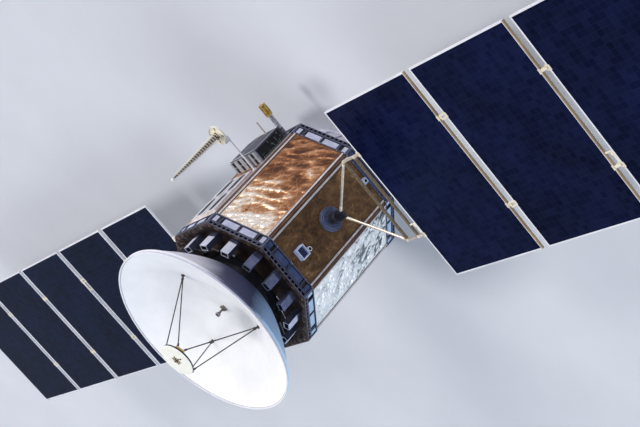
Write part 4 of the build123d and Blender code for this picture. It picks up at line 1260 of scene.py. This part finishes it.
# Sensors on the wing sides
def sensor_fittings():
    """Each side's large sensor gets a dark blue plate in its recess as painted shade, and a rim; the two
    round ones get a dark well and a ring.
    """
    wells, rims, hollows = [], [], []
    sensor_face, recess_face, lens_face, small_sensor_face = [side_face + high for high in
                                                              (0.090, 0.0465, 0.060, 0.070)]
    for k, hand in ((0, 1), (4, -1)):
        front = on_side(k, 0, sensor_z, sensor_face)
        recess = on_side(k, 0, sensor_z, recess_face)
        lens = on_side(k, lens_along * hand, lens_z, lens_face)
        small = on_side(k, 0, small_sensor_z, small_sensor_face)
        # Painted shade: a dark blue plate at the bottom of the sensor's recess
        hollows.append(settle(block("sensor_hollow", (0.158, 0.128, 0.003)), recess))
        rims.append(settle(border("sensor_rim", 0.188, 0.158, 0.010, 0.002), front))
        wells.append(settle(turned("sensor_well", [(0.026, 0), (0.026, 0.0015)], 28), lens))
        rims.append(settle(hoop("sensor_ring", 0.031, 0.0055, 0.9, 32), lens))
        wells.append(settle(turned("small_sensor_well", [(0.028, 0), (0.028, 0.002)], 24), small))
        rims.append(settle(hoop("small_sensor_ring", 0.031, 0.004, 0.9, 28), small))
    dress(gather("sensor_openings", wells), liner_black)
    dress(gather("sensor_hollows", hollows), hollow_blue)
    dress(gather("sensor_rims", rims), white_coat)


# Wing drives, yokes and panel hinges
def drive_fittings(side, flip):
    """Rings and bolts on the drive's face, and the bands and nuts on its hub."""
    face = flip @ moved(drive_high.x, 0, wing_z) @ towards_x
    pieces = [settle(hoop(side + "_drive_ring", 0.150, 0.006, 0.8, 64), face),
              settle(hoop(side + "_drive_edge", 0.186, 0.0045, 1.0, 64), face)]
    bolt = screw(side + "_drive_bolts", 0.0085, 0.006, 6)
    pieces.append(repeat(bolt, [face @ spun(30 * n) @ moved(0.168, 0, 0) for n in range(12)]))
    dress(gather(side + "_drive_trim", pieces), drive_trim)
    band = turned(side + "_hub_band", [(0.0985, 0), (0.0985, 0.012)], 8)
    outer_band, inner_band = 1.420, 1.272
    spots = [flip @ moved(x, 0, wing_z) @ towards_x @ spun(22.5) for x in (outer_band, inner_band)]
    dress(repeat(band, spots), band_coat, side + "_drive_hub")
    nut = screw(side + "_hub_nuts", 0.012, 0.010, 6)
    spots = [flip @ moved(root_pin, 0.100 * way, wing_z) @ spun(-90 * way, "X") for way in (-1, 1)]
    dress(repeat(nut, spots), bronze_fit, side + "_drive_hub")


def yoke_fittings(side, flip):
    """Sleeves at both ends of the yoke's legs, and caps on its corners."""
    pieces = []
    for way in (-1, 1):
        foot, head = Vector((root_pin, 0.076 * way, wing_z)), Vector((yoke_corner, hinge_y * way, wing_z))
        run = (head - foot).normalized()
        sleeve = turned(side + "_sleeve", [(0.0195, 0), (0.0215, 0.003), (0.0215, 0.040), (0.0195, 0.043)],
                        18)
        pieces.append(repeat(sleeve, [flip @ between(foot + run * 0.040, head),
                                      flip @ between(head - run * 0.095, head)]))
        cap = block(side + "_corner_cap", (0.037, 0.037, 0.004))
        spots = [flip @ moved(x, hinge_y * way, wing_z + 0.0185) for x in (yoke_corner, yoke_outer)]
        pieces.append(repeat(cap, spots))
    dress(gather(side + "_yoke_fittings", pieces), hinge_gold, side + "_yoke_frame")


def hinge_fittings(side, flip):
    """A plate with two screws over each hinge knuckle on the five panels."""
    knuckle_inset = 0.019
    for n in range(1, 6):
        low_x = first_edge + panel_pitch * (n - 1)
        edges = [low_x + knuckle_inset] + ([low_x + panel_wide - knuckle_inset] if n < 5 else [])
        spots = [(x, y) for x in edges for y in (-hinge_y, hinge_y)]
        name = "%s_hinge_plates_%d" % (side, n)
        plate = block(name, (0.036, 0.076, 0.0045), 0.0008)
        plates = [repeat(plate, [flip @ moved(x, y, panel_top - 0.0008) for x, y in spots])]
        stud = screw("%s_hinge_screws_%d" % (side, n), 0.0055, 0.0025)
        plates.append(repeat(stud, [flip @ moved(x, y + dy, panel_top + 0.0013) for x, y in spots
                                    for dy in (-0.028, 0.028)]))
        dress(gather(name, plates), hinge_gold, "%s_wing_%d" % (side, n))


def edge_studs():
    """Small latch studs on the left wing's edge, at its inner and outer ends."""
    height = panel_top - 0.020
    for n, x in ((1, -first_edge - 0.060), (5, -first_edge - 4 * panel_pitch - panel_wide + 0.060)):
        base = block("left_stud_base_%d" % n, (0.050, 0.012, 0.030))
        post = turned("left_stud_post_%d" % n, [(0.010, 0), (0.010, 0.014), (0.016, 0.016), (0.016, 0.027),
                                                (0.009, 0.029)], 16)
        pieces = [settle(base, moved(x, -panel_half - 0.004, height)),
                  settle(post, moved(x, -panel_half - 0.006, height) @ spun(90, "X"))]
        dress(gather("left_edge_stud_%d" % n, pieces), hinge_gold, "left_wing_%d" % n)


# Launch adapter and thruster
def adapter_fittings():
    """Ribs up the cone, bolts under its upper flange and rings round the nozzle."""
    foot, head = Vector((0.866, 0, 0.024)), Vector((1.081, 0, 0.436))
    rib_count, bolt_count, bolt_circle = 24, 48, 1.098
    run = (head - foot).length
    rib = block("adapter_ribs", (0.012, 0.030, run))
    lean = between(foot, head) @ moved(0, 0, run / 2)
    turns = [spun(360 / rib_count * n) for n in range(rib_count)]
    dress(repeat(rib, [turn @ lean for turn in turns]), adapter_coat)
    bolt = screw("adapter_flange_bolts", 0.0075, 0.006, 6)
    seat = moved(bolt_circle, 0, adapter_high.z - 0.020) @ spun(180, "X")
    turns = [spun(360 / bolt_count * (n + 0.5)) for n in range(bolt_count)]
    dress(repeat(bolt, [turn @ seat for turn in turns]), trim_pale)
    rings = [settle(hoop("nozzle_ring", radius, 0.004, 1.0, 48), moved(0, 0, up))
             for radius, up in ((0.160, 0.1035), (0.1495, 0.150), (0.131, 0.210))]
    dress(gather("nozzle_rings", rings), nozzle_coat)


for fit in (deck_skirt, ring_trims, body_seams, horn_fittings, dish_fittings, subreflector_fittings,
            unit_fittings, dark_floors, helix_fittings, winding, barrel_fittings, sensor_fittings):
    fit()
for side, degrees in (("right", 0), ("left", 180)):
    for fit in (drive_fittings, yoke_fittings, hinge_fittings):
        fit(side, spun(degrees))
edge_studs()
adapter_fittings()


# Floor, light and camera
floor = start("floor", bpy.ops.mesh.primitive_plane_add, size=600)
close(floor)
ground = Finish("pale floor", gloss=0.2)
bare = ground.stops(ground.noise(ground.mapped(), 0.6, 3.0), 0.3, 0.7, (208, 211, 219), (213, 216, 224))
path = ground.node("ShaderNodeLightPath")
seen = ground.most(path.outputs["Is Camera Ray"], path.outputs["Is Glossy Ray"])
seen = ground.most(seen, path.outputs["Is Transmission Ray"])
ground.colour(ground.blend(seen, (120, 126, 150), bare))
ground.rough(ground.noise(ground.mapped(), 5.0, 3.0), 0.7, 0.9)
floor.data.materials.append(ground.material)

# Each lamp: the direction that its light comes from, its strength, its colour and its spread in degrees
for name, towards, power, colour, spread in (
        ("key light", (-0.30, 0.28, 0.90), 1.20, (1.0, 0.98, 0.96), 14),
        ("side light", (0.10, 0.88, 0.42), 1.35, (1.0, 0.96, 0.91), 34),
        ("fill light", (0.28, -0.60, 0.75), 0.78, (0.86, 0.93, 1.0), 40),
        ("low warm light", (0.34, 0.93, 0.08), 1.35, (1.0, 0.95, 0.88), 24),
        ("low cool light", (0.34, -0.93, 0.08), 2.15, (0.83, 0.92, 1.0), 40),
        ("back light", (-0.80, 0.60, 0.08), 0.60, (0.98, 0.97, 1.0), 30)):
    light = bpy.data.lights.new(name, "SUN")
    light.energy = power
    light.color = colour
    light.angle = math.radians(spread)
    lamp = bpy.data.objects.new(name, light)
    bpy.context.scene.collection.objects.link(lamp)
    lamp.location = (0, 0, 10)
    lamp.rotation_euler = Vector(towards).to_track_quat("Z", "Y").to_euler()
    lamp.visible_camera = False

world = bpy.data.worlds.new("studio")
bpy.context.scene.world = world
world.use_nodes = True
sky = world.node_tree.nodes["Background"]
sky.inputs["Color"].default_value = (0.72, 0.78, 0.92, 1)
sky.inputs["Strength"].default_value = 0.30

view = bpy.data.cameras.new("camera")
view.sensor_width = 36
view.lens = 77.08
view.clip_start = 0.5
view.clip_end = 900
camera = bpy.data.objects.new("camera", view)
bpy.context.scene.collection.objects.link(camera)
# The camera's own right, up and backward directions
aim = Matrix(((0.54764, -0.62700, -0.55404), (0.22737, 0.74876, -0.62262), (0.80523, 0.21500, 0.55262)))
camera.matrix_world = aim.transposed().to_4x4()
camera.location = (17.738, 4.595, 13.057)
bpy.context.scene.camera = camera
bpy.context.scene.view_settings.view_transform = "Standard"
